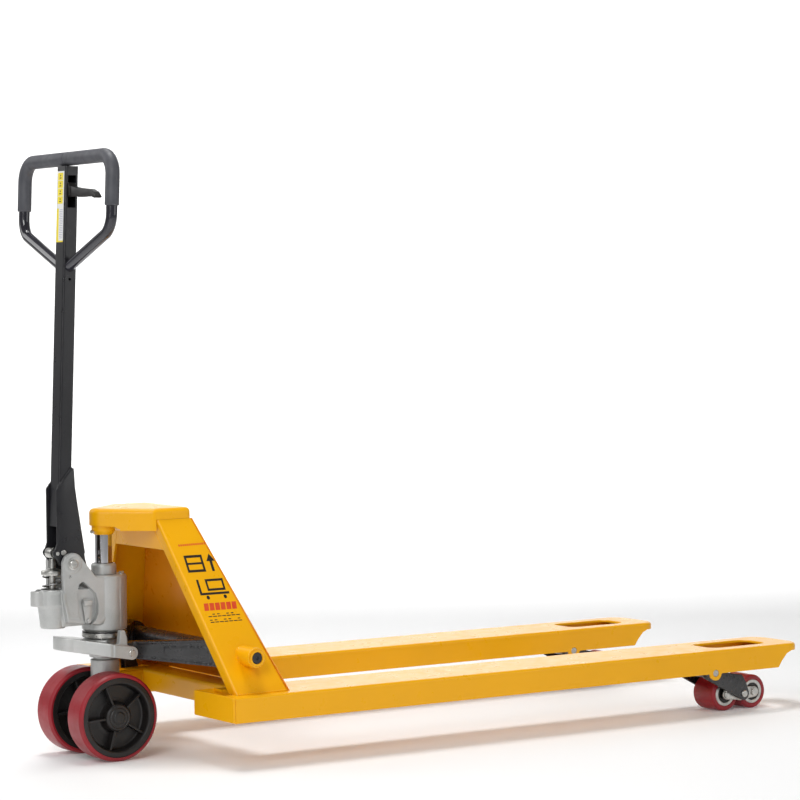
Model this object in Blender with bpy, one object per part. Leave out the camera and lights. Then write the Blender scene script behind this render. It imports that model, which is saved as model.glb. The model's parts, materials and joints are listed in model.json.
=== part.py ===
"""Hand pallet jack: steering pump, lifting chassis with two forks, roller frames and tow handle.

Lengths are in metres and +Z is up.  Shapes are written with X = 0 at the steer wheels' axle,
+X along the forks, and the root empty moves the whole jack so that its box is centred on X = 0.
"""
import math

import bmesh
import bpy
from mathutils import Matrix, Vector

# ---- driving dimensions -------------------------------------------------------------------
GAP = 0.0003                    # clearance kept between neighbouring pieces
FORK_LENGTH = 1.500
FORK_WIDTH = 0.160
OVERALL_WIDTH = 0.685
FORK_TOP = 0.146                # top of the forks in the modelled half-raised position
FORK_DEPTH = 0.052
SHEET = 0.005                   # folded steel sheet
HEEL_X = 0.1275
TIP_X = HEEL_X + FORK_LENGTH
REAR_X = -0.147                 # rearmost point, on the plunger housing
CENTRE_X = (TIP_X + REAR_X) / 2

STEER_X = 0.020                 # steering and ram axis
WHEEL_RADIUS = 0.090
WHEEL_WIDTH = 0.060
WHEEL_TRACK = 0.138
TREAD = 0.008
RAM_RADIUS = 0.0177

PIVOT_X = -0.071                # handle pivot
PIVOT_Z = 0.4045
CAM_X = -0.098                  # cam roller and plunger axis
CAM_Z = 0.426
CAM_RADIUS = 0.011

SHAFT_X = 0.199                 # rocker shaft
SHAFT_Z = 0.218
SHAFT_RADIUS = 0.012
LUG_X = 0.0375                  # pins between the steering base and the rocker
LUG_Z = 0.2183
LUG_RADIUS = 0.0138
LUG_PIN_RADIUS = 0.0072
LEVER_Z = 0.171                 # lower end of the rocker's levers

FORK_PIN_X = 1.372              # roller frame pivot
FORK_PIN_Z = 0.095
BOGIE_X = 1.476
ROLLER_RADIUS = 0.038
ROLLER_WIDTH = 0.070
ROLLER_SPACING = 0.080
CRANK_Z = 0.125                 # upper end of the roller frame's crank

HANDLE_TOP_Z = 1.2315           # centre line of the loop's top bar
HANDLE_LEAN = math.atan2(0.0173, 0.430)
LEVER_PIVOT_Z = 1.165

FORK_Y = (OVERALL_WIDTH - FORK_WIDTH) / 2
FORK_BOTTOM = FORK_TOP - FORK_DEPTH

SIDES = {"left": 1, "right": -1}

# body: (parent body, point on its joint's axis)
BODIES = {
    "steering_base": (None, (0, 0, 0)),
    "chassis": ("steering_base", (STEER_X, 0, FORK_TOP)),
    "rocker": ("chassis", (SHAFT_X, 0, SHAFT_Z)),
    "pump": ("steering_base", (STEER_X, 0, 0)),
    "plunger": ("pump", (CAM_X, 0, PIVOT_Z)),
    "valve_lever": ("pump", (-0.035, -0.036, 0.2855)),
    "handle": ("pump", (PIVOT_X, 0, PIVOT_Z)),
    "cam_roller": ("handle", (CAM_X, 0, CAM_Z)),
}

MATERIALS = {                   # colour, roughness, metallic
    "yellow_paint": ((0.86, 0.44, 0.010), 0.32, 0.0),
    "red_polyurethane": ((0.30, 0.012, 0.022), 0.38, 0.0),
    "black_nylon": ((0.012, 0.012, 0.012), 0.45, 0.0),
    "cast_silver_paint": ((0.46, 0.47, 0.46), 0.42, 0.35),
    "black_paint": ((0.016, 0.017, 0.019), 0.35, 0.0),
    "grip_rubber": ((0.028, 0.029, 0.032), 0.60, 0.0),
    "chrome": ((0.80, 0.80, 0.82), 0.08, 1.0),
    "zinc_steel": ((0.55, 0.55, 0.53), 0.30, 1.0),
    "black_casting": ((0.020, 0.020, 0.021), 0.42, 0.2),
    "spring_steel": ((0.35, 0.35, 0.35), 0.30, 1.0),
}


# ---- scene helpers ------------------------------------------------------------------------
def clear_scene():
    for obj in list(bpy.data.objects):
        bpy.data.objects.remove(obj, do_unlink=True)


def make_material(name):
    colour, roughness, metallic = MATERIALS[name]
    material = bpy.data.materials.new(name)
    material.use_nodes = True
    shader = material.node_tree.nodes["Principled BSDF"]
    shader.inputs["Base Color"].default_value = (*colour, 1)
    shader.inputs["Roughness"].default_value = roughness
    shader.inputs["Metallic"].default_value = metallic
    return material


def body_empty(name):
    """Empty on a body's joint axis, parented to the parent body's empty."""
    label = f"{name}_axis"
    if label in bpy.data.objects:
        return bpy.data.objects[label]
    parent, point = BODIES[name]
    empty = bpy.data.objects.new(label, None)
    bpy.context.scene.collection.objects.link(empty)
    if parent is None:
        empty.location = (-CENTRE_X, 0, 0)
    else:
        empty.parent = body_empty(parent)
        empty.location = Vector(point) - Vector(BODIES[parent][1])
    return empty


def add(node, obj, body, material):
    """Name a finished solid, put its origin on its body's axis and give it its own material."""
    origin = Vector(BODIES[body][1])
    obj.data.transform(Matrix.Translation(-origin))
    obj.name = node
    obj.data.name = node
    obj.parent = body_empty(body)
    obj.location = (0, 0, 0)
    finish = make_material(material)
    finish.name = f"{node}_{material}"
    obj.data.materials.clear()
    obj.data.materials.append(finish)
    obj.data.polygons.foreach_set("use_smooth", [True] * len(obj.data.polygons))
    obj.data.set_sharp_from_angle(angle=math.radians(35))
    return obj


def solid(bm):
    """Object from a closed bmesh, faces turned outward."""
    bmesh.ops.recalc_face_normals(bm, faces=bm.faces)
    mesh = bpy.data.meshes.new("solid")
    bm.to_mesh(mesh)
    bm.free()
    obj = bpy.data.objects.new("solid", mesh)
    bpy.context.scene.collection.objects.link(obj)
    return obj


def combine(base, operation, tools):
    """Apply exact Booleans of the tools to the base, and remove the tools."""
    for tool in tools:
        modifier = base.modifiers.new("boolean", "BOOLEAN")
        modifier.operation = operation
        modifier.object = tool
        modifier.solver = "EXACT"
    bpy.context.view_layer.update()
    depsgraph = bpy.context.evaluated_depsgraph_get()
    mesh = bpy.data.meshes.new_from_object(base.evaluated_get(depsgraph))
    base.modifiers.clear()
    base.data = mesh
    for tool in tools:
        bpy.data.objects.remove(tool, do_unlink=True)
    return base


def union(base, *tools):
    return combine(base, "UNION", tools)


def cut(base, *tools):
    return combine(base, "DIFFERENCE", tools)


def intersect(base, *tools):
    return combine(base, "INTERSECT", tools)


# ---- shape helpers ------------------------------------------------------------------------
PLANES = {                      # maps (u, v, w) of an extruded outline to X, Y, Z
    "XZ": lambda u, v, w: (u, w, v),
    "XY": lambda u, v, w: (u, v, w),
    "YZ": lambda u, v, w: (w, u, v),
}


def prism(outline, plane, low, high):
    """Solid from a closed outline in a plane, extruded from low to high along the third axis."""
    place = PLANES[plane]
    bm = bmesh.new()
    bottom = [bm.verts.new(place(u, v, low)) for u, v in outline]
    top = [bm.verts.new(place(u, v, high)) for u, v in outline]
    bm.faces.new(bottom)
    bm.faces.new(top)
    for index in range(len(outline)):
        following = (index + 1) % len(outline)
        bm.faces.new((bottom[index], bottom[following], top[following], top[index]))
    return solid(bm)


def block(low, high):
    """Box between two corners."""
    outline = [(low[0], low[1]), (high[0], low[1]), (high[0], high[1]), (low[0], high[1])]
    return prism(outline, "XY", low[2], high[2])


def hull(points):
    """Convex solid around a set of points."""
    bm = bmesh.new()
    for point in points:
        bm.verts.new(point)
    bmesh.ops.convex_hull(bm, input=bm.verts)
    loose = [vert for vert in bm.verts if not vert.link_faces]
    bmesh.ops.delete(bm, geom=loose, context="VERTS")
    return solid(bm)


def arc(centre, radius, start, end, steps):
    """Points on a circular arc, with angles in degrees."""
    points = []
    for step in range(steps + 1):
        angle = math.radians(start + (end - start) * step / steps)
        points.append((centre[0] + radius * math.cos(angle), centre[1] + radius * math.sin(angle)))
    return points


def rounded_rectangle(low, high, radius, steps=4):
    """Rectangle outline with rounded corners."""
    corners = [(high[0] - radius, high[1] - radius, 0), (low[0] + radius, high[1] - radius, 90),
               (low[0] + radius, low[1] + radius, 180), (high[0] - radius, low[1] + radius, 270)]
    outline = []
    for u, v, start in corners:
        outline += arc((u, v), radius, start, start + 90, steps)
    return outline


def turned(profile, centre, axis, segments=32):
    """Solid of revolution.  The closed profile lists (radius, height) along the axis."""
    bm = bmesh.new()
    rings = []
    for radius, height in profile:
        if radius < 1e-9:
            rings.append([bm.verts.new((0, 0, height))])
            continue
        circle = arc((0, 0), radius, 0, 360 - 360 / segments, segments - 1)
        rings.append([bm.verts.new((u, v, height)) for u, v in circle])
    for first, second in zip(rings, rings[1:] + rings[:1]):
        if len(first) == 1 and len(second) == 1:
            continue
        for index in range(segments):
            following = (index + 1) % segments
            corners = {}
            for vert in (first[index % len(first)], first[following % len(first)],
                         second[following % len(second)], second[index % len(second)]):
                corners[vert] = True
            bm.faces.new(list(corners))
    turn = {"Z": Matrix.Identity(4), "Y": Matrix.Rotation(math.radians(-90), 4, "X"),
            "X": Matrix.Rotation(math.radians(90), 4, "Y")}[axis]
    bm.transform(Matrix.Translation(centre) @ turn)
    return solid(bm)


def rod(start, end, radius, axis, centre, segments=20):
    """Cylinder along an axis from start to end; centre gives the other two coordinates."""
    profile = [(0, start), (radius, start), (radius, end), (0, end)]
    return turned(profile, centre, axis, segments)


def ring(inner, outer, start, end, axis, centre, segments=24):
    profile = [(inner, start), (outer, start), (outer, end), (inner, end)]
    return turned(profile, centre, axis, segments)


def circles(bm, path, radius, segments):
    """Rings of vertices of one radius along a list of points."""
    points = [Vector(point) for point in path]
    rings = []
    side = None
    for index, point in enumerate(points):
        before = points[max(index - 1, 0)]
        after = points[min(index + 1, len(points) - 1)]
        forward = (after - before).normalized()
        if side is None:
            side = forward.orthogonal().normalized()
        side = (side - forward * side.dot(forward)).normalized()
        other = forward.cross(side)
        circle = arc((0, 0), radius, 0, 360 - 360 / segments, segments - 1)
        rings.append([bm.verts.new(point + side * u + other * v) for u, v in circle])
    return rings


def join_rings(bm, rings):
    """Faces between each ring and the next."""
    for first, second in zip(rings, rings[1:]):
        for index in range(len(first)):
            following = (index + 1) % len(first)
            bm.faces.new((first[index], first[following], second[following], second[index]))


def swept(path, radius, segments=12):
    """Round bar along a list of points, with flat ends."""
    bm = bmesh.new()
    rings = circles(bm, path, radius, segments)
    join_rings(bm, rings)
    bm.faces.new(rings[0])
    bm.faces.new(rings[-1])
    return solid(bm)


def sleeve(path, inner, outer, segments=12):
    """Round tube along a list of points, open at both ends."""
    bm = bmesh.new()
    outside = circles(bm, path, outer, segments)
    inside = circles(bm, path, inner, segments)
    join_rings(bm, outside)
    join_rings(bm, inside)
    join_rings(bm, [outside[0], inside[0]])
    join_rings(bm, [outside[-1], inside[-1]])
    return solid(bm)


def mirrored(outline):
    """Outline in X and Y completed with its mirror image across Y = 0."""
    return outline + [(u, -v) for u, v in reversed(outline)]


# ---- steering base: the root, which stays on the floor ------------------------------------
BASE_LOW = 0.2045               # plate at the lug pins; it rises towards its rear tip
BASE_TOP = 0.2320
BASE_SLOPE = -0.17
BASE_TIP_X = -0.054             # centre and radius of the rounded rear tip
BASE_TIP_RADIUS = 0.040
SEAT_TOP = 0.2440               # flat seat of the thrust bearing
SEAT_RADIUS = 0.0325
STEM_RADIUS = 0.0245
LUG_OUTER = 0.088
LUG_INNER = 0.060
LUG_ROOT = 0.040                # how far the lugs reach back into the plate
RACE_INNER = 0.0265
RACE_SPLIT = 0.2468             # middle of the gap between the two races
RACE_TOP = 0.2595


def base_plate():
    """Sloping plate with a rounded rear tip that widens to the lugs."""
    tip = arc((BASE_TIP_X, 0), BASE_TIP_RADIUS, 180, 115, 7)
    shoulder = [(LUG_X - 0.048, LUG_OUTER - 0.002), (LUG_X - 0.022, LUG_OUTER - 0.002)]
    plate = prism(mirrored(tip + shoulder), "XY", BASE_LOW, BASE_TOP)
    for vertex in plate.data.vertices:
        vertex.co.z += BASE_SLOPE * (vertex.co.x - LUG_X)
    return plate


def steering_base():
    """Plate with two lugs at its front, a seat round the strut and two stop blocks."""
    rise = -BASE_SLOPE * LUG_ROOT
    parts = [rod(BASE_LOW + 0.0005, SEAT_TOP, SEAT_RADIUS, "Z", (STEER_X, 0, 0), 28)]
    for sign in SIDES.values():
        low, high = sorted((sign * LUG_INNER, sign * LUG_OUTER))
        outline = arc((LUG_X, LUG_Z), LUG_RADIUS, -90, 90, 8)
        outline += [(LUG_X - LUG_ROOT, BASE_TOP + rise - 0.002), (LUG_X - LUG_ROOT, BASE_LOW + rise + 0.001)]
        parts.append(prism(outline, "XZ", low, high))
        stop_low, stop_high = sorted((sign * 0.0605, sign * 0.0740))
        stop = [(0.0136, 0.227), (0.0346, 0.227), (0.0346, 0.248), (0.0290, 0.265), (0.0180, 0.265)]
        parts.append(prism(stop, "XZ", stop_low, stop_high))
    body = union(base_plate(), *parts)
    bores = [rod(-0.1, 0.1, LUG_PIN_RADIUS + GAP, "Y", (LUG_X, 0, LUG_Z))]
    bores.append(rod(BASE_LOW - 0.01, SEAT_TOP + 0.01, STEM_RADIUS + 0.0005, "Z", (STEER_X, 0, 0)))
    add("steering_base", cut(body, *bores), "steering_base", "cast_silver_paint")


def lug_pins():
    for side, sign in SIDES.items():
        low, high = sorted((sign * 0.0330, sign * 0.0910))
        pin = rod(low, high, LUG_PIN_RADIUS, "Y", (LUG_X, 0, LUG_Z))
        add(f"lug_pin_{side}", pin, "steering_base", "zinc_steel")


def bearing_races():
    axis = (STEER_X, 0, 0)
    lower = ring(RACE_INNER, SEAT_RADIUS, SEAT_TOP + GAP, RACE_SPLIT - GAP / 2, "Z", axis, 28)
    add("lower_bearing_race", lower, "steering_base", "zinc_steel")
    upper = ring(RACE_INNER, 0.047, RACE_SPLIT + GAP / 2, RACE_TOP, "Z", axis, 28)
    add("upper_bearing_race", upper, "pump", "zinc_steel")


# ---- pump: turns on the steering base, carries the wheels and the handle -------------------
STRUT_RADIUS = 0.030
STRUT_LOW = 0.088
STRUT_TOP = 0.2005
BODY_RADIUS = 0.0465
NECK_RADIUS = 0.042
BODY_LOW = 0.262
BODY_TOP = 0.376
HOUSING_RADIUS = 0.033
HOUSING_LOW = 0.272
HOUSING_TOP = 0.352
WELL_RADIUS = 0.0245
EAR_INNER = 0.030
EAR_OUTER = 0.042
EAR_RADIUS = 0.0225
PIN_RADIUS = 0.007
AXLE_RADIUS = 0.010


def pump_body():
    axis = (STEER_X, 0, 0)
    neck_low = RACE_TOP + GAP
    profile = [(0, STRUT_LOW), (STRUT_RADIUS, STRUT_LOW), (STRUT_RADIUS, STRUT_TOP), (STEM_RADIUS, STRUT_TOP),
               (STEM_RADIUS, neck_low), (NECK_RADIUS, neck_low), (NECK_RADIUS, BODY_LOW),
               (BODY_RADIUS - 0.002, BODY_LOW), (BODY_RADIUS, BODY_LOW + 0.003),
               (BODY_RADIUS, BODY_TOP - 0.004), (BODY_RADIUS - 0.004, BODY_TOP), (0, BODY_TOP)]
    body = turned(profile, axis, "Z", 28)
    carrier = rod(-0.0385, 0.0385, 0.0225, "Y", (0, 0, WHEEL_RADIUS), 20)
    housing_profile = [(0, HOUSING_LOW), (0.028, HOUSING_LOW), (0.031, 0.316), (HOUSING_RADIUS, 0.320),
                       (HOUSING_RADIUS, HOUSING_TOP), (0, HOUSING_TOP)]
    housing = turned(housing_profile, (CAM_X, 0, 0), "Z", 24)
    bridge = prism([(CAM_X - 0.016, 0.320), (CAM_X - 0.016, HOUSING_TOP - 0.001),
                    (STEER_X, HOUSING_TOP - 0.001),
                    (STEER_X, 0.276), (CAM_X + 0.01, 0.276), (CAM_X + 0.002, 0.318)], "XZ", -0.028, 0.028)
    ears = []
    for sign in SIDES.values():
        low, high = sorted((sign * EAR_INNER, sign * EAR_OUTER))
        outline = arc((PIVOT_X, PIVOT_Z), EAR_RADIUS, 35, 180, 10)
        outline += [(PIVOT_X - EAR_RADIUS, 0.330), (PIVOT_X - 0.013, 0.284), (-0.011, 0.2745),
                    (STEER_X + 0.001, 0.290), (STEER_X + 0.001, 0.373), (-0.0186, 0.375)]
        ears.append(prism(outline, "XZ", low, high))
        low, high = sorted((sign * 0.021, sign * (EAR_INNER + 0.002)))
        web = [(-0.081, 0.301), (-0.081, HOUSING_TOP - 0.003), (0.004, HOUSING_TOP - 0.003), (0.004, 0.301)]
        ears.append(prism(web, "XZ", low, high))
    nose = arc((REAR_X + 0.016, 0), 0.016, 90, 270, 6) + [(CAM_X, -0.022), (CAM_X, 0.022)]
    pocket = prism(nose, "XY", 0.3185, HOUSING_TOP - 0.002)
    body = union(body, carrier, housing, bridge, pocket, *ears)
    window = [(-0.062, 0.300), (-0.0635, 0.345), (-0.058, 0.362), (-0.0505, 0.367), (-0.034, 0.355),
              (-0.020, 0.342), (-0.0145, 0.320), (-0.015, 0.300), (-0.021, 0.270), (-0.056, 0.270)]
    cutters = [
        prism(window, "XZ", -0.1, -EAR_INNER),
        rod(0.266, 0.5, RAM_RADIUS + 0.0005, "Z", axis),
        rod(0.310, 0.5, WELL_RADIUS, "Z", (CAM_X, 0, 0)),
        rod(0.280, 0.5, 0.0068, "Z", (CAM_X, 0, 0), 16),
        rod(-0.1, 0.1, PIN_RADIUS + GAP, "Y", (PIVOT_X, 0, PIVOT_Z)),
        rod(-0.1, 0.1, AXLE_RADIUS + GAP, "Y", (0, 0, WHEEL_RADIUS)),
    ]
    add("pump_body", cut(body, *cutters), "pump", "cast_silver_paint")


def ram_gland():
    bore = RAM_RADIUS + 0.0005
    low, high = BODY_TOP + GAP, 0.400
    profile = [(bore, low), (0.026, low), (0.026, high - 0.002), (0.024, high), (bore, high)]
    add("ram_gland", turned(profile, (STEER_X, 0, 0), "Z", 28), "pump", "cast_silver_paint")


def oil_filler_plug():
    plug = turned([(0, BODY_TOP + GAP), (0.0055, BODY_TOP + GAP), (0.0055, 0.3815), (0, 0.3815)],
                  (STEER_X + 0.0300, -0.021, 0), "Z", 6)
    add("oil_filler_plug", plug, "pump", "zinc_steel")


def wheel_axle():
    add("wheel_axle", rod(-0.0985, 0.0985, AXLE_RADIUS, "Y", (0, 0, WHEEL_RADIUS)), "pump", "zinc_steel")


def handle_pivot_pin():
    profile = [(0, -0.0455), (0.010, -0.0455), (0.010, -EAR_OUTER - GAP), (PIN_RADIUS, -EAR_OUTER - GAP),
               (PIN_RADIUS, 0.048), (0, 0.048)]
    pin = turned(profile, (PIVOT_X, 0, PIVOT_Z), "Y", 24)
    add("handle_pivot_pin", pin, "pump", "zinc_steel")


def steer_wheels():
    for side, sign in SIDES.items():
        body = f"steer_wheel_{side}"
        middle = sign * WHEEL_TRACK / 2
        centre = (0, middle, WHEEL_RADIUS)
        half = WHEEL_WIDTH / 2
        rim = WHEEL_RADIUS - TREAD
        outer = [(0.0103, -half - 0.0005), (0.022, -half - 0.0005), (0.026, -0.008), (rim - 0.012, -0.008),
                 (rim - 0.009, -half + 0.001), (rim, -half + 0.001)]
        profile = outer + [(radius, -height) for radius, height in reversed(outer)]
        hub = turned(profile, centre, "Y", 28)
        ribs = []
        for index in range(5):
            turn = Matrix.Rotation(math.radians(18 + 72 * index), 4, "Y")
            rib = block((0.020, -half + 0.005, -0.003), (rim - 0.006, half - 0.005, 0.003))
            rib.data.transform(Matrix.Translation(centre) @ turn)
            ribs.append(rib)
        add(f"steer_wheel_hub_{side}", union(hub, *ribs), body, "black_nylon")
        tread = [(rim + GAP, -half), (WHEEL_RADIUS - 0.004, -half), (WHEEL_RADIUS, -half + 0.005),
                 (WHEEL_RADIUS, half - 0.005), (WHEEL_RADIUS - 0.004, half), (rim + GAP, half)]
        add(f"steer_wheel_tyre_{side}", turned(tread, centre, "Y", 48), body, "red_polyurethane")


def plunger():
    profile = [(0, 0.322), (0.0062, 0.322), (0.0062, 0.381), (0.0232, 0.381), (0.0235, 0.390), (0.0100,
                                                                                                0.393),
               (0.0068, 0.395), (0.0068, CAM_Z - CAM_RADIUS - GAP), (0, CAM_Z - CAM_RADIUS - GAP)]
    add("pump_plunger", turned(profile, (CAM_X, 0, 0), "Z", 20), "plunger", "zinc_steel")


def plunger_spring():
    turns = 3
    steps = 12
    wire = 0.0018
    low = 0.310 + wire + GAP
    high = 0.381 - wire - GAP
    path = []
    for step in range(turns * steps + 1):
        angle = 2 * math.pi * step / steps
        height = low + (high - low) * step / (turns * steps)
        path.append((CAM_X + 0.0195 * math.cos(angle), 0.0195 * math.sin(angle), height))
    add("plunger_spring", swept(path, wire, 5), "pump", "spring_steel")


def valve_lever():
    pivot = BODIES["valve_lever"][1]
    arm = prism(arc((pivot[0], pivot[2]), 0.0065, 200, 340, 6) + [(-0.026, 0.300), (-0.026, 0.322),
                                                                  (-0.030, 0.330),
                (-0.044, 0.330), (-0.047, 0.322), (-0.044, 0.302)], "XZ", -0.0345, -0.0305)
    pin = rod(-0.0385, -0.0335, 0.0045, "Y", (pivot[0], 0, pivot[2]), 16)
    toe = block((-0.046, -0.0400, 0.317), (-0.027, -0.034, 0.328))
    add("valve_lever", union(arm, pin, toe), "valve_lever", "cast_silver_paint")


# ---- chassis: forks and bulkhead, lifted by the ram ----------------------------------------
NOSE_X = 1.556                  # where the underside chamfer of the fork tip begins
TAPER_X = 1.591
LIP_Z = 0.130
CUT_LOW = 1.395                 # opening above the load rollers
CUT_HIGH = 1.556
CUT_HALF = 0.042
HEEL_OPEN = 0.172
HEEL_STRIP = 0.042              # width of top plate kept outboard of the heel opening
CLEVIS_OPEN = 0.240
SEAT_X = 0.2785                 # the fork top is lowered by the gap behind here, under the bulkhead
ROLLER_NOTCH_X = 1.5735         # relief in the nose for the front roller when lowered
ROLLER_NOTCH_HALF = 0.0385
ROD_Y = 0.238


def fork_shell(inset):
    """Outer envelope of a fork, or the space inside it when inset by the sheet thickness."""
    half = FORK_WIDTH / 2 - inset
    low = FORK_BOTTOM - (0.05 if inset else 0)
    slope = inset * 0.4
    side = [(HEEL_X + SHEET + GAP + inset, low), (HEEL_X + SHEET + GAP + inset, FORK_TOP - inset),
            (TIP_X - inset, FORK_TOP - inset)]
    if inset:
        side += [(TIP_X - inset, LIP_Z + inset + slope), (TAPER_X - slope, LIP_Z + inset),
                 (NOSE_X - slope, FORK_BOTTOM + inset), (NOSE_X - slope, low)]
    else:
        side += [(TIP_X, LIP_Z), (TAPER_X, LIP_Z), (NOSE_X, low)]
    body = prism(side, "XZ", -half, half)
    tip = TIP_X - inset
    plan = [(0, half), (TAPER_X - slope, half)]
    plan += arc((TAPER_X - slope, half - 0.034), 0.034, 80, 20, 4)
    plan += [(tip, 0.046 - inset), (tip, 0)]
    envelope = prism([(u, v) for u, v in plan if v > 0] + [(u, -v) for u, v in reversed(plan) if v > 0],
                     "XY", 0, 0.2)
    return intersect(body, envelope)


def fork(side, sign):
    shell = fork_shell(0)
    ears = []
    for low in (-FORK_WIDTH / 2, FORK_WIDTH / 2 - SHEET):
        outline = arc((FORK_PIN_X, FORK_PIN_Z), 0.016, 180, 360, 8) + [(FORK_PIN_X + 0.016, 0.13),
                                                                       (FORK_PIN_X - 0.016, 0.13)]
        ears.append(prism(outline, "XZ", low, low + SHEET))
    space = fork_shell(SHEET)
    shell = union(cut(shell, space), *ears)
    plan = rounded_rectangle((CUT_LOW, -CUT_HALF), (CUT_HIGH, CUT_HALF), 0.024)
    inner = -sign * (FORK_Y - ROD_Y)
    heel_low, heel_high = sorted((-sign * (FORK_WIDTH / 2 - SHEET), sign * (FORK_WIDTH / 2 - HEEL_STRIP)))
    cutters = [
        prism(plan, "XY", 0.12, 0.2),
        block((0, heel_low, 0.12), (HEEL_OPEN, heel_high, 0.2)),
        block((0, -FORK_WIDTH, FORK_TOP - GAP), (SEAT_X, FORK_WIDTH, 0.2)),
        block((CUT_HIGH - 0.01, -ROLLER_NOTCH_HALF, 0.05), (ROLLER_NOTCH_X, ROLLER_NOTCH_HALF, LIP_Z)),
        block((HEEL_OPEN - 0.01, inner - 0.018, 0.12), (CLEVIS_OPEN, inner + 0.018, 0.2)),
        rod(-0.2, 0.2, 0.008 + GAP, "Y", (FORK_PIN_X, 0, FORK_PIN_Z), 20),
    ]
    shell = cut(shell, *cutters)
    shell.data.transform(Matrix.Translation((0, sign * FORK_Y, 0)))
    add(f"fork_{side}", shell, "chassis", "yellow_paint")


def heel_plate(side, sign):
    half = FORK_WIDTH / 2
    centre = sign * FORK_Y
    plate = block((HEEL_X, centre - half, FORK_BOTTOM + 0.001), (HEEL_X + SHEET, centre + half, FORK_TOP))
    add(f"heel_plate_{side}", plate, "chassis", "yellow_paint")


PANEL_BOTTOM_Y = 0.313          # outer faces of the slanted side panels
PANEL_TOP_Y = 0.0985
PANEL_TOP_Z = 0.4895
PANEL_REAR = (0.152, 0.0925)    # X at the bottom and at the top
PANEL_FRONT = (0.2715, 0.1712)
FLANGE = 0.032
BOSS_RADIUS = 0.0205
PANEL_SHEET = 0.006
HEAD_TOP = 0.5125


def slanted(rear, front, outer, inner, low, high):
    """Plate between two heights; each argument pair is (bottom, top)."""
    points = []
    for level, height in enumerate((low, high)):
        for along in (rear[level], front[level]):
            for across in (outer[level], inner[level]):
                points.append((along, across, height))
    return hull(points)


def side_panel(side, sign):
    low = FORK_TOP
    outer = (sign * PANEL_BOTTOM_Y, sign * PANEL_TOP_Y)
    inner = (sign * (PANEL_BOTTOM_Y - PANEL_SHEET), sign * (PANEL_TOP_Y - PANEL_SHEET))
    panel = slanted(PANEL_REAR, PANEL_FRONT, outer, inner, low, PANEL_TOP_Z)
    flange_front = (PANEL_REAR[0] + PANEL_SHEET, PANEL_REAR[1] + PANEL_SHEET)
    flange_inner = (sign * (PANEL_BOTTOM_Y - FLANGE), sign * (PANEL_TOP_Y - FLANGE))
    flange = slanted(PANEL_REAR, flange_front, outer, flange_inner, low, PANEL_TOP_Z)
    bottom, top = sorted((sign * 0.256, sign * 0.314))
    boss = rod(bottom, top, BOSS_RADIUS, "Y", (SHAFT_X, 0, SHAFT_Z), 20)
    bore = rod(-0.4, 0.4, SHAFT_RADIUS + GAP, "Y", (SHAFT_X, 0, SHAFT_Z))
    add(f"side_panel_{side}", cut(union(panel, flange, boss), bore), "chassis", "yellow_paint")


def front_plate():
    rear = (PANEL_FRONT[0] + GAP, PANEL_FRONT[1] + GAP)
    front = (rear[0] + SHEET, rear[1] + SHEET)
    points = []
    for level, height in enumerate((FORK_TOP, PANEL_TOP_Z)):
        for along in (rear[level], front[level]):
            across = (PANEL_BOTTOM_Y, PANEL_TOP_Y)[level]
            points += [(along, across, height), (along, -across, height)]
    add("front_plate", hull(points), "chassis", "yellow_paint")


def between(pair, height):
    """Value at a height on a line between a panel's bottom and top edges."""
    share = (height - FORK_TOP) / (PANEL_TOP_Z - FORK_TOP)
    return pair[0] + (pair[1] - pair[0]) * share


NOSE_LOW = 0.4668               # underside of the head casting's nose
NOSE_RADIUS = 0.029
COLLAR_LOW = 0.458
RIB_LOW = 0.4270


def rear_rib():
    """Plate in line with the panels' rear flanges, under the head casting's nose."""
    points = []
    for height in (RIB_LOW, NOSE_LOW - GAP):
        rear = between(PANEL_REAR, height)
        half = between((PANEL_BOTTOM_Y, PANEL_TOP_Y), height) - FLANGE - GAP
        for along in (rear, rear + SHEET):
            points += [(along, half, height), (along, -half, height)]
    add("rear_rib", hull(points), "chassis", "yellow_paint")


def head_casting():
    """Cap over the panels' top edges, with a deeper nose that reaches back over the ram."""
    low = PANEL_TOP_Z + GAP
    half = PANEL_TOP_Y
    front = PANEL_FRONT[1] + 0.0045
    end = PANEL_REAR[1] - GAP
    nose = arc((STEER_X, 0), NOSE_RADIUS, 180, 128, 5)
    deep = prism(mirrored(nose + [(end - 0.010, half - 0.004), (end, half)]), "XY", NOSE_LOW, low + 0.001)
    undercut = [(-0.02, 0.46), (0.038, 0.46), (0.038, NOSE_LOW), (0.024, 0.4755), (-0.02, 0.4775)]
    deep = cut(deep, prism(undercut, "XZ", -0.05, 0.05))
    plan = nose + [(end - 0.010, half - 0.004), (end, half), (front - 0.008, half), (front, half - 0.008)]
    cap = prism(mirrored(plan), "XY", low, HEAD_TOP - 0.008)
    top = [(STEER_X + (u - STEER_X) * 0.95, v * 0.93) for u, v in plan]
    crown = []
    for scale, height in ((plan, HEAD_TOP - 0.010), (top, HEAD_TOP)):
        crown += [(u, v, height) for u, v in mirrored(scale)]
    collar_profile = [(0, COLLAR_LOW), (0.0195, COLLAR_LOW), (0.0245, NOSE_LOW - 0.001),
                      (0.0245, NOSE_LOW + 0.01), (0, NOSE_LOW + 0.01)]
    collar = turned(collar_profile, (STEER_X, 0, 0), "Z", 24)
    body = union(cap, hull(crown), deep, collar)
    socket = rod(0.4, 0.500, RAM_RADIUS + GAP, "Z", (STEER_X, 0, 0))
    screw = rod(-0.05, -0.010, 0.004, "X", (STEER_X, 0, 0.4645), 16)
    add("head_casting", cut(body, socket, screw), "chassis", "yellow_paint")


def head_screw():
    screw = rod(-0.0290, -RAM_RADIUS - GAP, 0.0037, "X", (STEER_X, 0, 0.4645), 16)
    add("head_screw", screw, "chassis", "zinc_steel")


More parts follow.
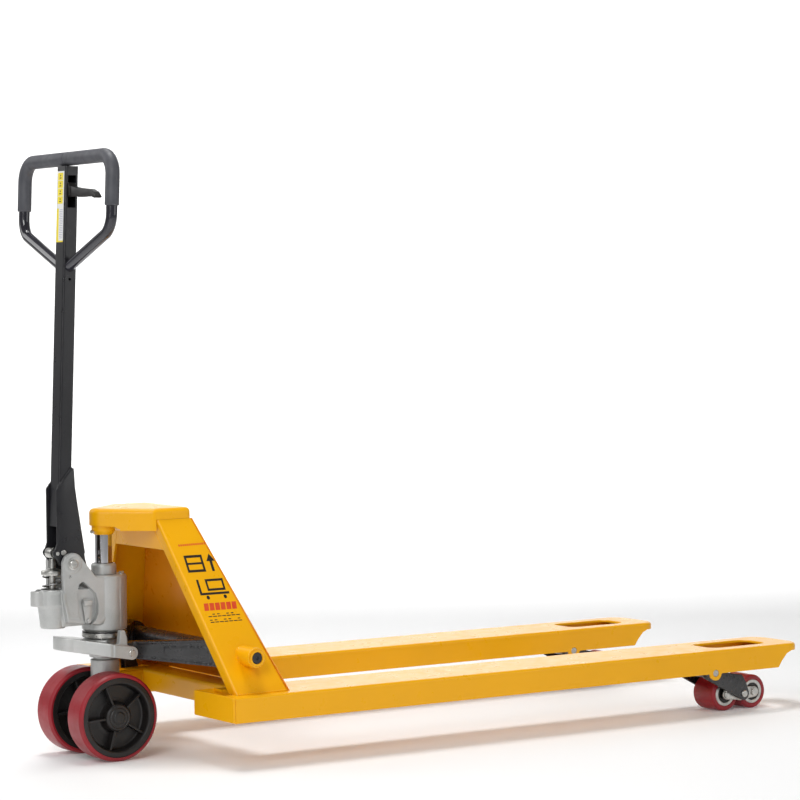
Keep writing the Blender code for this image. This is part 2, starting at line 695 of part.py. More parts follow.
def ram():
    profile = [(0, 0.332), (RAM_RADIUS, 0.332), (RAM_RADIUS, 0.496), (0.014, 0.499), (0, 0.499)]
    add("ram", turned(profile, (STEER_X, 0, 0), "Z", 28), "chassis", "chrome")


def cross_beam():
    half = FORK_Y - FORK_WIDTH / 2 - GAP
    rear, front, low, high = 0.206, 0.270, 0.102, 0.1455
    outline = [(rear, low), (rear, high - 0.008)] + arc((rear + 0.008, high - 0.008), 0.008, 160, 90, 3)
    outline += [(front, high), (front, high - SHEET), (rear + SHEET, high - SHEET), (rear + SHEET, low)]
    add("cross_beam", prism(outline, "XZ", -half, half), "chassis", "yellow_paint")


def rocker_shaft():
    add("rocker_shaft", rod(-0.316, 0.316, SHAFT_RADIUS, "Y", (SHAFT_X, 0, SHAFT_Z), 20), "chassis",
        "black_paint")


def fork_pins():
    for side, sign in SIDES.items():
        middle = sign * FORK_Y
        axis = (FORK_PIN_X, 0, FORK_PIN_Z)
        pin = rod(middle - FORK_WIDTH / 2, middle + FORK_WIDTH / 2, 0.008, "Y", axis, 20)
        add(f"roller_frame_pin_{side}", pin, "chassis", "zinc_steel")


# ---- rocker, push rods, roller frames and load rollers --------------------------------------
EYE_RADIUS = 0.0152
ARM_LUG_Y = (0.033, 0.0585)     # the arms at the lugs, and where they meet the shaft tube
ARM_SHAFT_Y = (0.2030, 0.2285)
ARM_BEND_X = 0.060
SLOT_RADIUS = 0.0088            # the lug pin slides in a slot as the arms swing
SLOT_REACH = 0.0095


def rocker_arm():
    """Arms that splay from the base's lugs to the shaft tube, with a lever for each push rod."""
    tube = rod(-0.2450, 0.2450, 0.022, "Y", (SHAFT_X, 0, SHAFT_Z), 20)
    parts = []
    for sign in SIDES.values():
        low, high = sorted(sign * edge for edge in ARM_LUG_Y)
        outline = arc((LUG_X - 0.006, LUG_Z), EYE_RADIUS, 90, 270, 8)
        outline += [(ARM_BEND_X, 0.2018), (ARM_BEND_X, 0.2385)]
        parts.append(prism(outline, "XZ", low, high))
        arm = []
        for edge_at_lug, edge_at_shaft in zip(ARM_LUG_Y, ARM_SHAFT_Y):
            for height in (0.2023, 0.2380):
                arm.append((ARM_BEND_X - 0.002, sign * edge_at_lug, height))
            for height in (SHAFT_Z - 0.031, SHAFT_Z + 0.031):
                arm.append((SHAFT_X, sign * edge_at_shaft, height))
        parts.append(hull(arm))
        low, high = sorted(sign * edge for edge in ARM_SHAFT_Y)
        parts.append(rod(low, high, 0.0315, "Y", (SHAFT_X, 0, SHAFT_Z), 24))
        low, high = sorted((sign * (ROD_Y - 0.006), sign * (ROD_Y + 0.006)))
        lever = arc((SHAFT_X, LEVER_Z), 0.011, 180, 360, 8)
        lever += [(SHAFT_X + 0.018, SHAFT_Z), (SHAFT_X - 0.018, SHAFT_Z)]
        parts.append(prism(lever, "XZ", low, high))
    body = union(tube, *parts)
    shaft = rod(-0.4, 0.4, SHAFT_RADIUS + GAP, "Y", (SHAFT_X, 0, SHAFT_Z), 20)
    slot_outline = arc((LUG_X + 0.002, LUG_Z), SLOT_RADIUS, -90, 90, 12)
    slot_outline += arc((LUG_X - SLOT_REACH, LUG_Z), SLOT_RADIUS, 90, 270, 12)
    add("rocker_arm", cut(body, shaft, prism(slot_outline, "XZ", -0.1, 0.1)), "rocker", "black_casting")


def push_rod(side, sign):
    """Straight bar in the fork with an upstand fork around the rocker's lever."""
    middle = sign * ROD_Y
    bar = rod(0.215, FORK_PIN_X - 0.0170, 0.007, "X", (0, middle, CRANK_Z - 0.002), 12)
    cheeks = []
    for shift in (-0.0115, 0.0075):
        outline = arc((SHAFT_X, LEVER_Z), 0.012, 0, 180, 8) + [(SHAFT_X - 0.010, 0.125),
                                                               (SHAFT_X + 0.030, 0.117)]
        cheeks.append(prism(outline, "XZ", middle + shift, middle + shift + 0.004))
    foot = block((SHAFT_X - 0.006, middle - 0.0115, 0.114), (SHAFT_X + 0.030, middle + 0.0115, 0.134))
    add(f"push_rod_{side}", union(foot, bar, *cheeks), f"push_rod_{side}", "black_paint")


FRAME_INNER = 0.0475            # roller frame arms, from the fork's middle
FRAME_OUTER = 0.0535


def roller_frame(side, sign):
    middle = sign * FORK_Y
    arms = []
    pivot_z = ROLLER_RADIUS
    for edge in (-1, 1):
        low, high = sorted((middle + edge * FRAME_INNER, middle + edge * FRAME_OUTER))
        outline = arc((BOGIE_X, pivot_z), 0.015, -125, 60, 8)
        outline += [(1.428, 0.088), (1.404, 0.108)]
        outline += arc((FORK_PIN_X, FORK_PIN_Z), 0.017, 60, 235, 8)
        arms.append(prism(outline, "XZ", low, high))
    tube = rod(middle - 0.070, middle + 0.070, 0.0135, "Y", (FORK_PIN_X, 0, FORK_PIN_Z), 20)
    crank_y = sign * ROD_Y
    crank = prism(arc((FORK_PIN_X, CRANK_Z), 0.009, 0, 180, 8)
                  + [(FORK_PIN_X - 0.012, FORK_PIN_Z), (FORK_PIN_X + 0.012, FORK_PIN_Z)],
                  "XZ", crank_y - 0.006, crank_y + 0.006)
    body = union(tube, crank, *arms)
    bores = [rod(-0.4, 0.4, 0.008 + GAP, "Y", (FORK_PIN_X, 0, FORK_PIN_Z), 20),
             rod(-0.4, 0.4, 0.008 + GAP, "Y", (BOGIE_X, 0, pivot_z), 20)]
    add(f"roller_frame_{side}", cut(body, *bores), f"roller_frame_{side}", "black_casting")


def bogie(side, sign):
    """Two tapered links with pivot stubs in the roller frame, joined by the two roller axles."""
    middle = sign * FORK_Y
    half = ROLLER_SPACING / 2
    parts = []
    for edge in (-1, 1):
        low, high = sorted((middle + edge * 0.0360, middle + edge * 0.0420))
        outline = arc((BOGIE_X + half, ROLLER_RADIUS), 0.012, -80, 80, 4)
        outline += arc((BOGIE_X, ROLLER_RADIUS), 0.017, 60, 120, 2)
        outline += arc((BOGIE_X - half, ROLLER_RADIUS), 0.012, 100, 260, 4)
        outline += arc((BOGIE_X, ROLLER_RADIUS), 0.017, 240, 300, 2)
        parts.append(prism(outline, "XZ", low, high))
        low, high = sorted((middle + edge * 0.0400, middle + edge * 0.0570))
        parts.append(rod(low, high, 0.0080, "Y", (BOGIE_X, 0, ROLLER_RADIUS), 16))
    for end in (-1, 1):
        axle = rod(middle - 0.0455, middle + 0.0455, 0.0060, "Y", (BOGIE_X + end * half, 0,
                                                                   ROLLER_RADIUS), 12)
        parts.append(axle)
    add(f"bogie_{side}", union(*parts), f"bogie_{side}", "zinc_steel")


def load_rollers(side, sign):
    middle = sign * FORK_Y
    half = ROLLER_WIDTH / 2
    for place, end in (("rear", -1), ("front", 1)):
        centre = (BOGIE_X + end * ROLLER_SPACING / 2, middle, ROLLER_RADIUS)
        outer = [(0.0063, -half), (ROLLER_RADIUS - 0.003, -half), (ROLLER_RADIUS, -half + 0.004)]
        outline = outer + [(radius, -height) for radius, height in reversed(outer)]
        name = f"load_roller_{place}_{side}"
        add(name, turned(outline, centre, "Y", 28), name, "red_polyurethane")


# ---- handle ---------------------------------------------------------------------------------
TUBE_LOW = 0.480
TUBE_TOP = 1.2158
TUBE_HALF_Y = 0.020
TUBE_HALF_X = 0.015
YOKE_OUTER = 0.025
YOKE_SHEET = 0.0045
LOOP_RADIUS = 0.0115
GRIP_RADIUS = 0.0148
GRIP_BORE = 0.0122
LOOP_HALF = 0.197


def handle_x(height):
    """X of the leaning tube's centre line at a height."""
    return -0.0739 + (height - 0.6153) * math.tan(HANDLE_LEAN)


YOKE_REAR = -0.0985


def handle_yoke():
    """Folded bracket: two cheeks joined by a front web, open towards the plunger side."""
    outer = []
    for sign in SIDES.values():
        low, high = sorted((sign * (YOKE_OUTER - YOKE_SHEET), sign * YOKE_OUTER))
        outline = [(YOKE_REAR, 0.557), (-0.056, 0.604), (-0.0555, 0.560), (-0.034, 0.410)]
        outline += arc((PIVOT_X + 0.016, 0.405), 0.024, -10, -70, 4)
        outline += arc((PIVOT_X, PIVOT_Z), 0.0165, -100, -130, 2)
        outline += arc((CAM_X, CAM_Z), 0.0095, 230, 120, 6) + [(YOKE_REAR, CAM_Z + 0.020)]
        outer.append(prism(outline, "XZ", low, high))
    web = prism([(-0.0605, 0.560), (-0.0560, 0.560), (-0.034, 0.425), (-0.0385, 0.425)], "XZ",
                -YOKE_OUTER, YOKE_OUTER)
    body = union(web, *outer)
    bores = [rod(-0.1, 0.1, PIN_RADIUS + GAP, "Y", (PIVOT_X, 0, PIVOT_Z)),
             rod(-0.1, 0.1, 0.0045, "Y", (CAM_X, 0, CAM_Z), 16)]
    add("handle_yoke", cut(body, *bores), "handle", "black_paint")


def handle_tube():
    wall = 0.003
    def leaning(half_x, half_y, low, high):
        points = []
        for height in (low, high):
            for along in (-half_x, half_x):
                for across in (-half_y, half_y):
                    points.append((handle_x(height) + along, across, height))
        return hull(points)
    tube = leaning(TUBE_HALF_X, TUBE_HALF_Y, TUBE_LOW, TUBE_TOP)
    inside = leaning(TUBE_HALF_X - wall, TUBE_HALF_Y - wall, TUBE_LOW - 0.02, TUBE_TOP - 0.004)
    window = leaning(0.0095, 0.010, LEVER_PIVOT_Z - 0.032, LEVER_PIVOT_Z + 0.030)
    window.data.transform(Matrix.Translation((0, -TUBE_HALF_Y, 0)))
    pivot = rod(-0.05, 0.05, 0.0033, "X", (handle_x(LEVER_PIVOT_Z), -0.012, LEVER_PIVOT_Z), 16)
    add("handle_tube", cut(tube, inside, window, pivot), "handle", "black_paint")


LOOP_JOIN = HANDLE_TOP_Z - 0.225


def loop_path(sign):
    """Centre line of half the loop: top bar, rounded shoulder, side and inward bend to the tube."""
    top = HANDLE_TOP_Z
    bend = 0.040
    points = [(0.0, top)]
    points += [(u, v) for u, v in reversed(arc((LOOP_HALF - bend, top - bend), bend, 0, 90, 6))]
    points += [(LOOP_HALF, top - 0.100), (LOOP_HALF, top - 0.114)]
    points += arc((LOOP_HALF - 0.045, top - 0.118), 0.045, -10, -58, 4)
    points += [(0.035, LOOP_JOIN + 0.012), (0.008, LOOP_JOIN)]
    return [(handle_x(height), sign * across, height) for across, height in points]


def handle_loop():
    """One bent tube over the top of the handle, its ends butting on the tube's sides."""
    bar = swept(loop_path(1)[::-1] + loop_path(-1)[1:], LOOP_RADIUS, 12)
    clear = block((-0.2, -TUBE_HALF_Y - GAP, LOOP_JOIN - 0.05), (0.1, TUBE_HALF_Y + GAP, LOOP_JOIN + 0.05))
    add("handle_loop", cut(bar, clear), "handle", "black_paint")


def grips():
    """Rubber sleeves that meet at the middle of the top bar, open at both ends."""
    for side, sign in SIDES.items():
        path = loop_path(sign)
        start = (path[0][0], sign * GAP, path[0][2])
        height = HANDLE_TOP_Z - 0.100
        end = (handle_x(height), sign * LOOP_HALF, height)
        run = [start] + path[1:8] + [end]
        add(f"grip_{side}", sleeve(run, GRIP_BORE, GRIP_RADIUS), "handle", "grip_rubber")


def cam_roller():
    add("cam_roller", ring(0.0046, CAM_RADIUS, -0.0125, 0.0125, "Y", (CAM_X, 0, CAM_Z), 28), "cam_roller",
        "zinc_steel")
    pin = rod(-0.0265, 0.0265, 0.0042, "Y", (CAM_X, 0, CAM_Z), 16)
    add("cam_roller_pin", pin, "handle", "zinc_steel")


def control_lever():
    """Three-position lever with a hooked tip, turning on a pin through the tube's upper window."""
    x = handle_x(LEVER_PIVOT_Z)
    z = LEVER_PIVOT_Z
    outline = [(-0.004, z + 0.0100), (-0.010, z - 0.0090), (-0.030, z - 0.0120), (-0.062, z - 0.0125),
               (-0.098, z - 0.0120), (-0.118, z - 0.0150), (-0.131, z - 0.0185), (-0.140, z - 0.0175),
               (-0.140, z - 0.0155), (-0.128, z - 0.0055), (-0.109, z + 0.0005), (-0.053, z + 0.0055),
               (-0.024, z + 0.0100)]
    lever = prism(outline, "YZ", x - 0.007, x + 0.007)
    hole = rod(-0.2, 0.2, 0.0033, "X", (0, -0.012, z), 16)
    add("control_lever", cut(lever, hole), "control_lever", "black_nylon")
    pin = rod(-0.0148, 0.0148, 0.0030, "X", (x, -0.012, z), 16)
    add("control_lever_pin", pin, "handle", "zinc_steel")


def release_rod():
    low, high = 0.50, LEVER_PIVOT_Z - 0.045
    path = [(handle_x(low) + 0.002, 0.004, low), (handle_x(high) + 0.002, 0.004, high)]
    add("release_rod", swept(path, 0.003, 8), "release_rod", "zinc_steel")


def add_side_bodies():
    """Bodies that exist once on each side."""
    for side, sign in SIDES.items():
        middle = sign * FORK_Y
        BODIES[f"steer_wheel_{side}"] = ("pump", (0, sign * WHEEL_TRACK / 2, WHEEL_RADIUS))
        BODIES[f"push_rod_{side}"] = ("chassis", (SHAFT_X, sign * ROD_Y, CRANK_Z))
        BODIES[f"roller_frame_{side}"] = ("chassis", (FORK_PIN_X, middle, FORK_PIN_Z))
        BODIES[f"bogie_{side}"] = (f"roller_frame_{side}", (BOGIE_X, middle, ROLLER_RADIUS))
        for place, end in (("rear", -1), ("front", 1)):
            axis = (BOGIE_X + end * ROLLER_SPACING / 2, middle, ROLLER_RADIUS)
            BODIES[f"load_roller_{place}_{side}"] = (f"bogie_{side}", axis)
    BODIES["control_lever"] = ("handle", (handle_x(LEVER_PIVOT_Z), -0.012, LEVER_PIVOT_Z))
    BODIES["release_rod"] = ("handle", (handle_x(0.8), 0, 0.8))


def build():
    clear_scene()
    add_side_bodies()
    steering_base()
    lug_pins()
    bearing_races()
    pump_body()
    ram_gland()
    oil_filler_plug()
    wheel_axle()
    handle_pivot_pin()
    steer_wheels()
    plunger()
    plunger_spring()
    valve_lever()
    for side, sign in SIDES.items():
        fork(side, sign)
        heel_plate(side, sign)
        side_panel(side, sign)
        push_rod(side, sign)
        roller_frame(side, sign)
        bogie(side, sign)
        load_rollers(side, sign)
    front_plate()
    rear_rib()
    head_casting()
    head_screw()
    ram()
    cross_beam()
    rocker_shaft()
    fork_pins()
    rocker_arm()
    handle_yoke()
    handle_tube()
    handle_loop()
    grips()
    cam_roller()
    control_lever()
    release_rod()


build()
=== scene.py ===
"""Looks of the hand pallet jack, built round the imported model.

Lengths are in metres.  Shapes are written with X = 0 at the steer wheels' axle, as in the design,
and piece() moves each finished shape by WHEEL_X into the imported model's frame.
"""

import json
import math

import bmesh
import bpy
from mathutils import Matrix, Vector, noise


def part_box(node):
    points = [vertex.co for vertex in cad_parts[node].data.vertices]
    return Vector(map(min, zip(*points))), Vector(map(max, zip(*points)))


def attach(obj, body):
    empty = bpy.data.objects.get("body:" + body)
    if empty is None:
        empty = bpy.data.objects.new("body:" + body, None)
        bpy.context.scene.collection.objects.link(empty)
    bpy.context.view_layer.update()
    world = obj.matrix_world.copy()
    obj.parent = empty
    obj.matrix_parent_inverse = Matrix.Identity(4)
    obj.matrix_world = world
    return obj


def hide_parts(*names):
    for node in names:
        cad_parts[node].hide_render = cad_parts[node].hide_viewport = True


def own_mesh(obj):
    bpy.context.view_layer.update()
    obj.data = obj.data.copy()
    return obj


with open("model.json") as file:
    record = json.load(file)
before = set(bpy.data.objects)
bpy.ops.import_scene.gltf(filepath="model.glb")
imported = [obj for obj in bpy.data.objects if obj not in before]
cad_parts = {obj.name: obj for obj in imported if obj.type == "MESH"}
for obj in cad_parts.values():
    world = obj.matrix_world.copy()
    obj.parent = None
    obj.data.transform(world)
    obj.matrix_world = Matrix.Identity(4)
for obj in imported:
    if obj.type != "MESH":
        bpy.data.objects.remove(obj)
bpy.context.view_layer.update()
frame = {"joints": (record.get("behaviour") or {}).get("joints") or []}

JOINTS = {joint["name"]: joint for joint in frame["joints"]}
SIDES = {"left": 1, "right": -1}


def joint_point(name):
    """A hinge's point, measured from the steer wheels' axle in X."""
    x, y, z = JOINTS[name]["pos_m"]
    return Vector((x - WHEEL_X, y, z))


def node_box(name):
    """A CAD node's corners, measured from the steer wheels' axle in X."""
    low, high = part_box(name)
    shift = Vector((WHEEL_X, 0, 0))
    return low - shift, high - shift


WHEEL_X = JOINTS["steer_wheel_left_spin"]["pos_m"][0]

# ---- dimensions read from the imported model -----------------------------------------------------
fork_low, fork_high = node_box("fork_left")
heel_low, heel_high = node_box("heel_plate_left")
FORK_Y = abs(fork_low.y + fork_high.y) / 2
FORK_HALF = (fork_high.y - fork_low.y) / 2
FORK_TOP = fork_high.z
HEEL_X = heel_low.x
TIP_X = fork_high.x
FORK_BOTTOM = FORK_TOP - 0.052
SHEET = heel_high.x - heel_low.x

wheel = joint_point("steer_wheel_left_spin")
WHEEL_RADIUS = wheel.z
WHEEL_Y = abs(wheel.y)
tyre_low, tyre_high = node_box("steer_wheel_tyre_left")
WHEEL_HALF = (tyre_high.y - tyre_low.y) / 2

STEER_X = joint_point("steer").x
PIVOT = joint_point("handle_tilt")
CAM = joint_point("cam_roller_spin")
SHAFT = joint_point("rocker_swing")
FORK_PIN = joint_point("roller_frame_left_swing")
BOGIE = joint_point("bogie_left_rock")
ROLLER_REAR = joint_point("load_roller_rear_left_spin")
ROLLER_RADIUS = ROLLER_REAR.z
ROLLER_HALF = (node_box("load_roller_rear_left")[1].y - node_box("load_roller_rear_left")[0].y) / 2
LEVER = joint_point("control_lever_swing")
VALVE = joint_point("valve_lever_swing")
lug_low, lug_high = node_box("lug_pin_left")
LUG = (lug_low + lug_high) / 2
RAM_RADIUS = (node_box("ram")[1].x - node_box("ram")[0].x) / 2
tube_low, tube_high = node_box("handle_tube")
loop_high = node_box("handle_loop")[1]
lift_axis = Vector(JOINTS["release_rod_slide"]["axis"])
LEAN = math.atan2(lift_axis.x, lift_axis.z)
GAP = 0.0003


def middle(point):
    """Where a line along Y through the point crosses the middle plane."""
    return (point.x, 0, point.z)


WHEEL_LINE = (0, 0, WHEEL_RADIUS)
PIVOT_LINE = middle(PIVOT)
CAM_LINE = middle(CAM)
SHAFT_LINE = middle(SHAFT)
FORK_PIN_LINE = middle(FORK_PIN)
LUG_LINE = middle(LUG)
STEER_LINE = (STEER_X, 0, 0)
PLUNGER_LINE = (CAM.x, 0, 0)


# ---- mesh helpers ------------------------------------------------------------------------------
def span(sign, near, far):
    """Two distances from the middle plane, in rising order on either side."""
    return sorted((sign * near, sign * far))


def new_object(bm, name="shape"):
    bmesh.ops.recalc_face_normals(bm, faces=bm.faces)
    mesh = bpy.data.meshes.new(name)
    bm.to_mesh(mesh)
    bm.free()
    obj = bpy.data.objects.new(name, mesh)
    bpy.context.scene.collection.objects.link(obj)
    return obj


def evaluated(obj):
    """Replace an object's mesh by the result of its modifiers."""
    bpy.context.view_layer.update()
    depsgraph = bpy.context.evaluated_depsgraph_get()
    mesh = bpy.data.meshes.new_from_object(obj.evaluated_get(depsgraph))
    obj.modifiers.clear()
    obj.data = mesh
    return obj


def boolean(base, operation, tools, solver="EXACT"):
    for tool in tools:
        modifier = base.modifiers.new("boolean", "BOOLEAN")
        modifier.operation = operation
        modifier.object = tool
        modifier.solver = solver
    evaluated(base)
    for tool in tools:
        bpy.data.objects.remove(tool, do_unlink=True)
    return base


def union(base, *tools):
    return boolean(base, "UNION", tools)


def cut(base, *tools, solver="EXACT"):
    return boolean(base, "DIFFERENCE", tools, solver)


def join(base, *others):
    """One object holding the meshes of several."""
    bm = bmesh.new()
    for obj in (base, *others):
        bm.from_mesh(obj.data)
    mesh = bpy.data.meshes.new("joined")
    bm.to_mesh(mesh)
    bm.free()
    base.data = mesh
    for obj in others:
        bpy.data.objects.remove(obj, do_unlink=True)
    return base


def bevelled(obj, width, segments=3, angle=32):
    modifier = obj.modifiers.new("bevel", "BEVEL")
    modifier.width = width
    modifier.segments = segments
    modifier.limit_method = "ANGLE"
    modifier.angle_limit = math.radians(angle)
    modifier.miter_outer = "MITER_ARC"
    return evaluated(obj)


CAST_VOXEL = 0.0012


def cast(parts, voxel, passes, cutters=()):
    """Sand-cast shape: parts melted together with soft inner corners, then machined by the cutters."""
    body = join(*parts)
    remesh = body.modifiers.new("remesh", "REMESH")
    remesh.mode = "VOXEL"
    remesh.voxel_size = voxel
    remesh.adaptivity = 0.0
    smooth = body.modifiers.new("smooth", "SMOOTH")
    smooth.factor = 0.5
    smooth.iterations = passes
    evaluated(body)
    if cutters:
        cut(body, *cutters, solver="MANIFOLD")
    return body


PLANES = {"XZ": lambda u, v, w: (u, w, v), "XY": lambda u, v, w: (u, v, w), "YZ": lambda u, v, w: (w, u, v)}


def loft(rings, closed=True):
    """Solid through rings of equal point counts, with flat ends or, if not closed, joined to a ring."""
    bm = bmesh.new()
    loops = [[bm.verts.new(point) for point in ring] for ring in (rings if closed else rings[:-1])]
    if not closed:
        loops.append(loops[0])
    for first, second in zip(loops, loops[1:]):
        for index in range(len(first)):
            following = (index + 1) % len(first)
            bm.faces.new((first[index], first[following], second[following], second[index]))
    if closed:
        bm.faces.new(loops[0])
        bm.faces.new(loops[-1])
    return new_object(bm)


def raised(outline, height):
    """Plan outline as a ring of points at a height."""
    return [(u, v, height) for u, v in outline]


def prism(outline, plane, low, high):
    place = PLANES[plane]
    return loft([[place(u, v, level) for u, v in outline] for level in (low, high)])


def block(low, high):
    outline = [(low[0], low[1]), (high[0], low[1]), (high[0], high[1]), (low[0], high[1])]
    return prism(outline, "XY", low[2], high[2])


def arc(centre, radius, start, end, steps):
    points = []
    for step in range(steps + 1):
        angle = math.radians(start + (end - start) * step / steps)
        points.append((centre[0] + radius * math.cos(angle), centre[1] + radius * math.sin(angle)))
    return points


def rounded(low, high, radius, steps=6):
    """Rectangle outline with rounded corners."""
    corners = [(high[0] - radius, high[1] - radius, 0), (low[0] + radius, high[1] - radius, 90),
               (low[0] + radius, low[1] + radius, 180), (high[0] - radius, low[1] + radius, 270)]
    outline = []
    for u, v, start in corners:
        outline += arc((u, v), radius, start, start + 90, steps)
    return outline


def fillet(points, radius, steps=6):
    """Closed outline with each corner rounded; radius may be one number or one per point."""
    outline = []
    count = len(points)
    for index in range(count):
        corner = Vector(points[index])
        before = Vector(points[index - 1]) - corner
        after = Vector(points[(index + 1) % count]) - corner
        size = radius[index] if isinstance(radius, (list, tuple)) else radius
        half_angle = before.angle(after) / 2
        reach = min(size / math.tan(half_angle), before.length * 0.49, after.length * 0.49)
        if size <= 0 or reach < 1e-5:
            outline.append(tuple(corner))
            continue
        start = corner + before.normalized() * reach
        end = corner + after.normalized() * reach
        for step in range(steps + 1):
            share = step / steps
            point = start * (1 - share) ** 2 + corner * 2 * share * (1 - share) + end * share ** 2
            outline.append(tuple(point))
    return outline


def mirrored(outline):
    return outline + [(u, -v) for u, v in reversed(outline)]


def inset(outline, distance):
    """Outline moved inward along its corner normals."""
    count = len(outline)
    area = sum(outline[i - 1][0] * outline[i][1] - outline[i][0] * outline[i - 1][1] for i in range(count))
    turn = 1 if area > 0 else -1
    moved = []
    for index in range(count):
        along = Vector(outline[(index + 1) % count]) - Vector(outline[index - 1])
        normal = Vector((-along.y, along.x)).normalized() * turn
        moved.append(tuple(Vector(outline[index]) + normal * distance))
    return moved


TURNS = {"Z": Matrix.Identity(4), "Y": Matrix.Rotation(math.radians(-90), 4, "X"),
         "X": Matrix.Rotation(math.radians(90), 4, "Y")}


def turned(profile, centre, axis, segments=64):
    """Solid of revolution of a closed profile of (radius, height)."""
    bm = bmesh.new()
    rings = []
    for radius, height in profile:
        if radius < 1e-9:
            rings.append([bm.verts.new((0, 0, height))])
        else:
            circle = arc((0, 0), radius, 0, 360 - 360 / segments, segments - 1)
            rings.append([bm.verts.new((u, v, height)) for u, v in circle])
    for first, second in zip(rings, rings[1:] + rings[:1]):
        if len(first) == 1 and len(second) == 1:
            continue
        for index in range(segments):
            following = (index + 1) % segments
            corners = [first[index % len(first)], first[following % len(first)],
                       second[following % len(second)], second[index % len(second)]]
            bm.faces.new(list(dict.fromkeys(corners)))
    bm.transform(Matrix.Translation(centre) @ TURNS[axis])
    return new_object(bm)


def rod(start, end, radius, axis, centre, segments=48, chamfer=0.0006):
    profile = [(0, start), (radius - chamfer, start), (radius, start + chamfer), (radius, end - chamfer),
               (radius - chamfer, end), (0, end)]
    return turned(profile, centre, axis, segments)


def bar_along(path, radius, segments=20, across=(1, 0, 0)):
    """Round bar along a path; radius is one number or one per point."""
    radii = radius if isinstance(radius, list) else [radius] * len(path)
    return loft(rings_along(path, radii, segments, across))


def rings_along(path, radii, segments, across):
    """Circles square to a path; across is any direction not along it."""
    points = [Vector(point) for point in path]
    count = len(points)
    rings = []
    for index, point in enumerate(points):
        forward = (points[min(index + 1, count - 1)] - points[max(index - 1, 0)]).normalized()
        side = (Vector(across) - forward * forward.dot(Vector(across))).normalized()
        other = forward.cross(side)
        circle = arc((0, 0), radii[index], 0, 360 - 360 / segments, segments - 1)
        rings.append([point + side * u + other * v for u, v in circle])
    return rings


def tube_along(path, inner, outers, segments, across):
    """Thick-walled tube along a path; outers gives the outer radius at each point."""
    outside = rings_along(path, outers, segments, across)
    inside = rings_along(path, [inner] * len(path), segments, across)
    return loft(outside + inside[::-1] + outside[:1], closed=False)


# ---- material helpers --------------------------------------------------------------------------
FINISHES = {}


class Nodes:
    """Short way to add and link shader nodes; each new material is kept in FINISHES by its name."""

    def __init__(self, name):
        self.material = bpy.data.materials.new(name)
        self.material.use_nodes = True
        FINISHES[name] = self.material
        self.tree = self.material.node_tree
        self.shader = self.tree.nodes["Principled BSDF"]
        self.coords = self.add("ShaderNodeTexCoord").outputs["Object"]

    def add(self, kind, **values):
        node = self.tree.nodes.new(kind)
        for key, value in values.items():
            if hasattr(node, key):
                setattr(node, key, value)
            else:
                node.inputs[key.replace("_", " ")].default_value = value
        return node

    def link(self, source, target):
        self.tree.links.new(source, target)

    def noise(self, scale, detail=4.0, roughness=0.5, stretch=None):
        node = self.add("ShaderNodeTexNoise", Scale=scale, Detail=detail, Roughness=roughness)
        coords = self.coords
        if stretch:
            mapping = self.add("ShaderNodeMapping")
            mapping.inputs["Scale"].default_value = stretch
            self.link(coords, mapping.inputs["Vector"])
            coords = mapping.outputs["Vector"]
        self.link(coords, node.inputs["Vector"])
        return node.outputs["Fac"]

    def voronoi(self, scale, feature="F1"):
        node = self.add("ShaderNodeTexVoronoi", Scale=scale)
        node.feature = feature
        self.link(self.coords, node.inputs["Vector"])
        return node.outputs["Distance"]

    def spread(self, source, low, high, start=0.3, end=0.7):
        """Map a factor to a range of values."""
        node = self.add("ShaderNodeMapRange")
        for key, value in (("From Min", start), ("From Max", end), ("To Min", low), ("To Max", high)):
            node.inputs[key].default_value = value
        self.link(source, node.inputs["Value"])
        return node.outputs["Result"]

    def ramp(self, source, stops):
        node = self.add("ShaderNodeValToRGB")
        ramp = node.color_ramp
        while len(ramp.elements) < len(stops):
            ramp.elements.new(0.5)
        for element, (place, colour) in zip(ramp.elements, stops):
            element.position = place
            element.color = (*colour, 1)
        self.link(source, node.inputs["Fac"])
        return node.outputs["Color"]

    def mix(self, factor, first, second):
        node = self.add("ShaderNodeMix")
        node.data_type = "RGBA"
        for socket, value in ((node.inputs["Factor"], factor), (node.inputs["A"], first),
                              (node.inputs["B"], second)):
            if hasattr(value, "is_output"):
                self.link(value, socket)
            elif isinstance(value, (int, float)):
                socket.default_value = value
            else:
                socket.default_value = (*value, 1)
        return node.outputs["Result"]

    def bump(self, height, strength, distance, under=None):
        node = self.add("ShaderNodeBump")
        node.inputs["Strength"].default_value = strength
        node.inputs["Distance"].default_value = distance
        self.link(height, node.inputs["Height"])
        if under:
            self.link(under, node.inputs["Normal"])
        return node.outputs["Normal"]

    def set(self, **values):
        for key, value in values.items():
            socket = self.shader.inputs[key.replace("_", " ")]
            if hasattr(value, "is_output"):
                self.link(value, socket)
            elif isinstance(value, tuple):
                socket.default_value = (*value, 1)
            else:
                socket.default_value = value
        return self.material


def shade(colour, factor):
    return tuple(channel * factor for channel in colour)


YELLOW = (0.91, 0.435, 0.001)
YELLOW_SHADED = (0.8, 0.27, 0.001)    # painted shade: the same yellow made a little deeper in tone for the sheltered front plate


def powder_coat(name, paint):
    """Gloss powder coat with a fine orange peel and slight unevenness."""
    n = Nodes(name)
    tone = n.noise(7.0, 5.0)
    colour = n.ramp(tone, [(0.32, shade(paint, 0.95)), (0.68, paint)])
    peel = n.bump(n.noise(420.0, 2.0), 0.06, 0.0005)
    rough = n.spread(n.noise(38.0, 6.0), 0.26, 0.36)
    return n.set(Base_Color=colour, Roughness=rough, Normal=peel, Coat_Weight=0.05, Coat_Roughness=0.12,
                 Specular_IOR_Level=0.28)


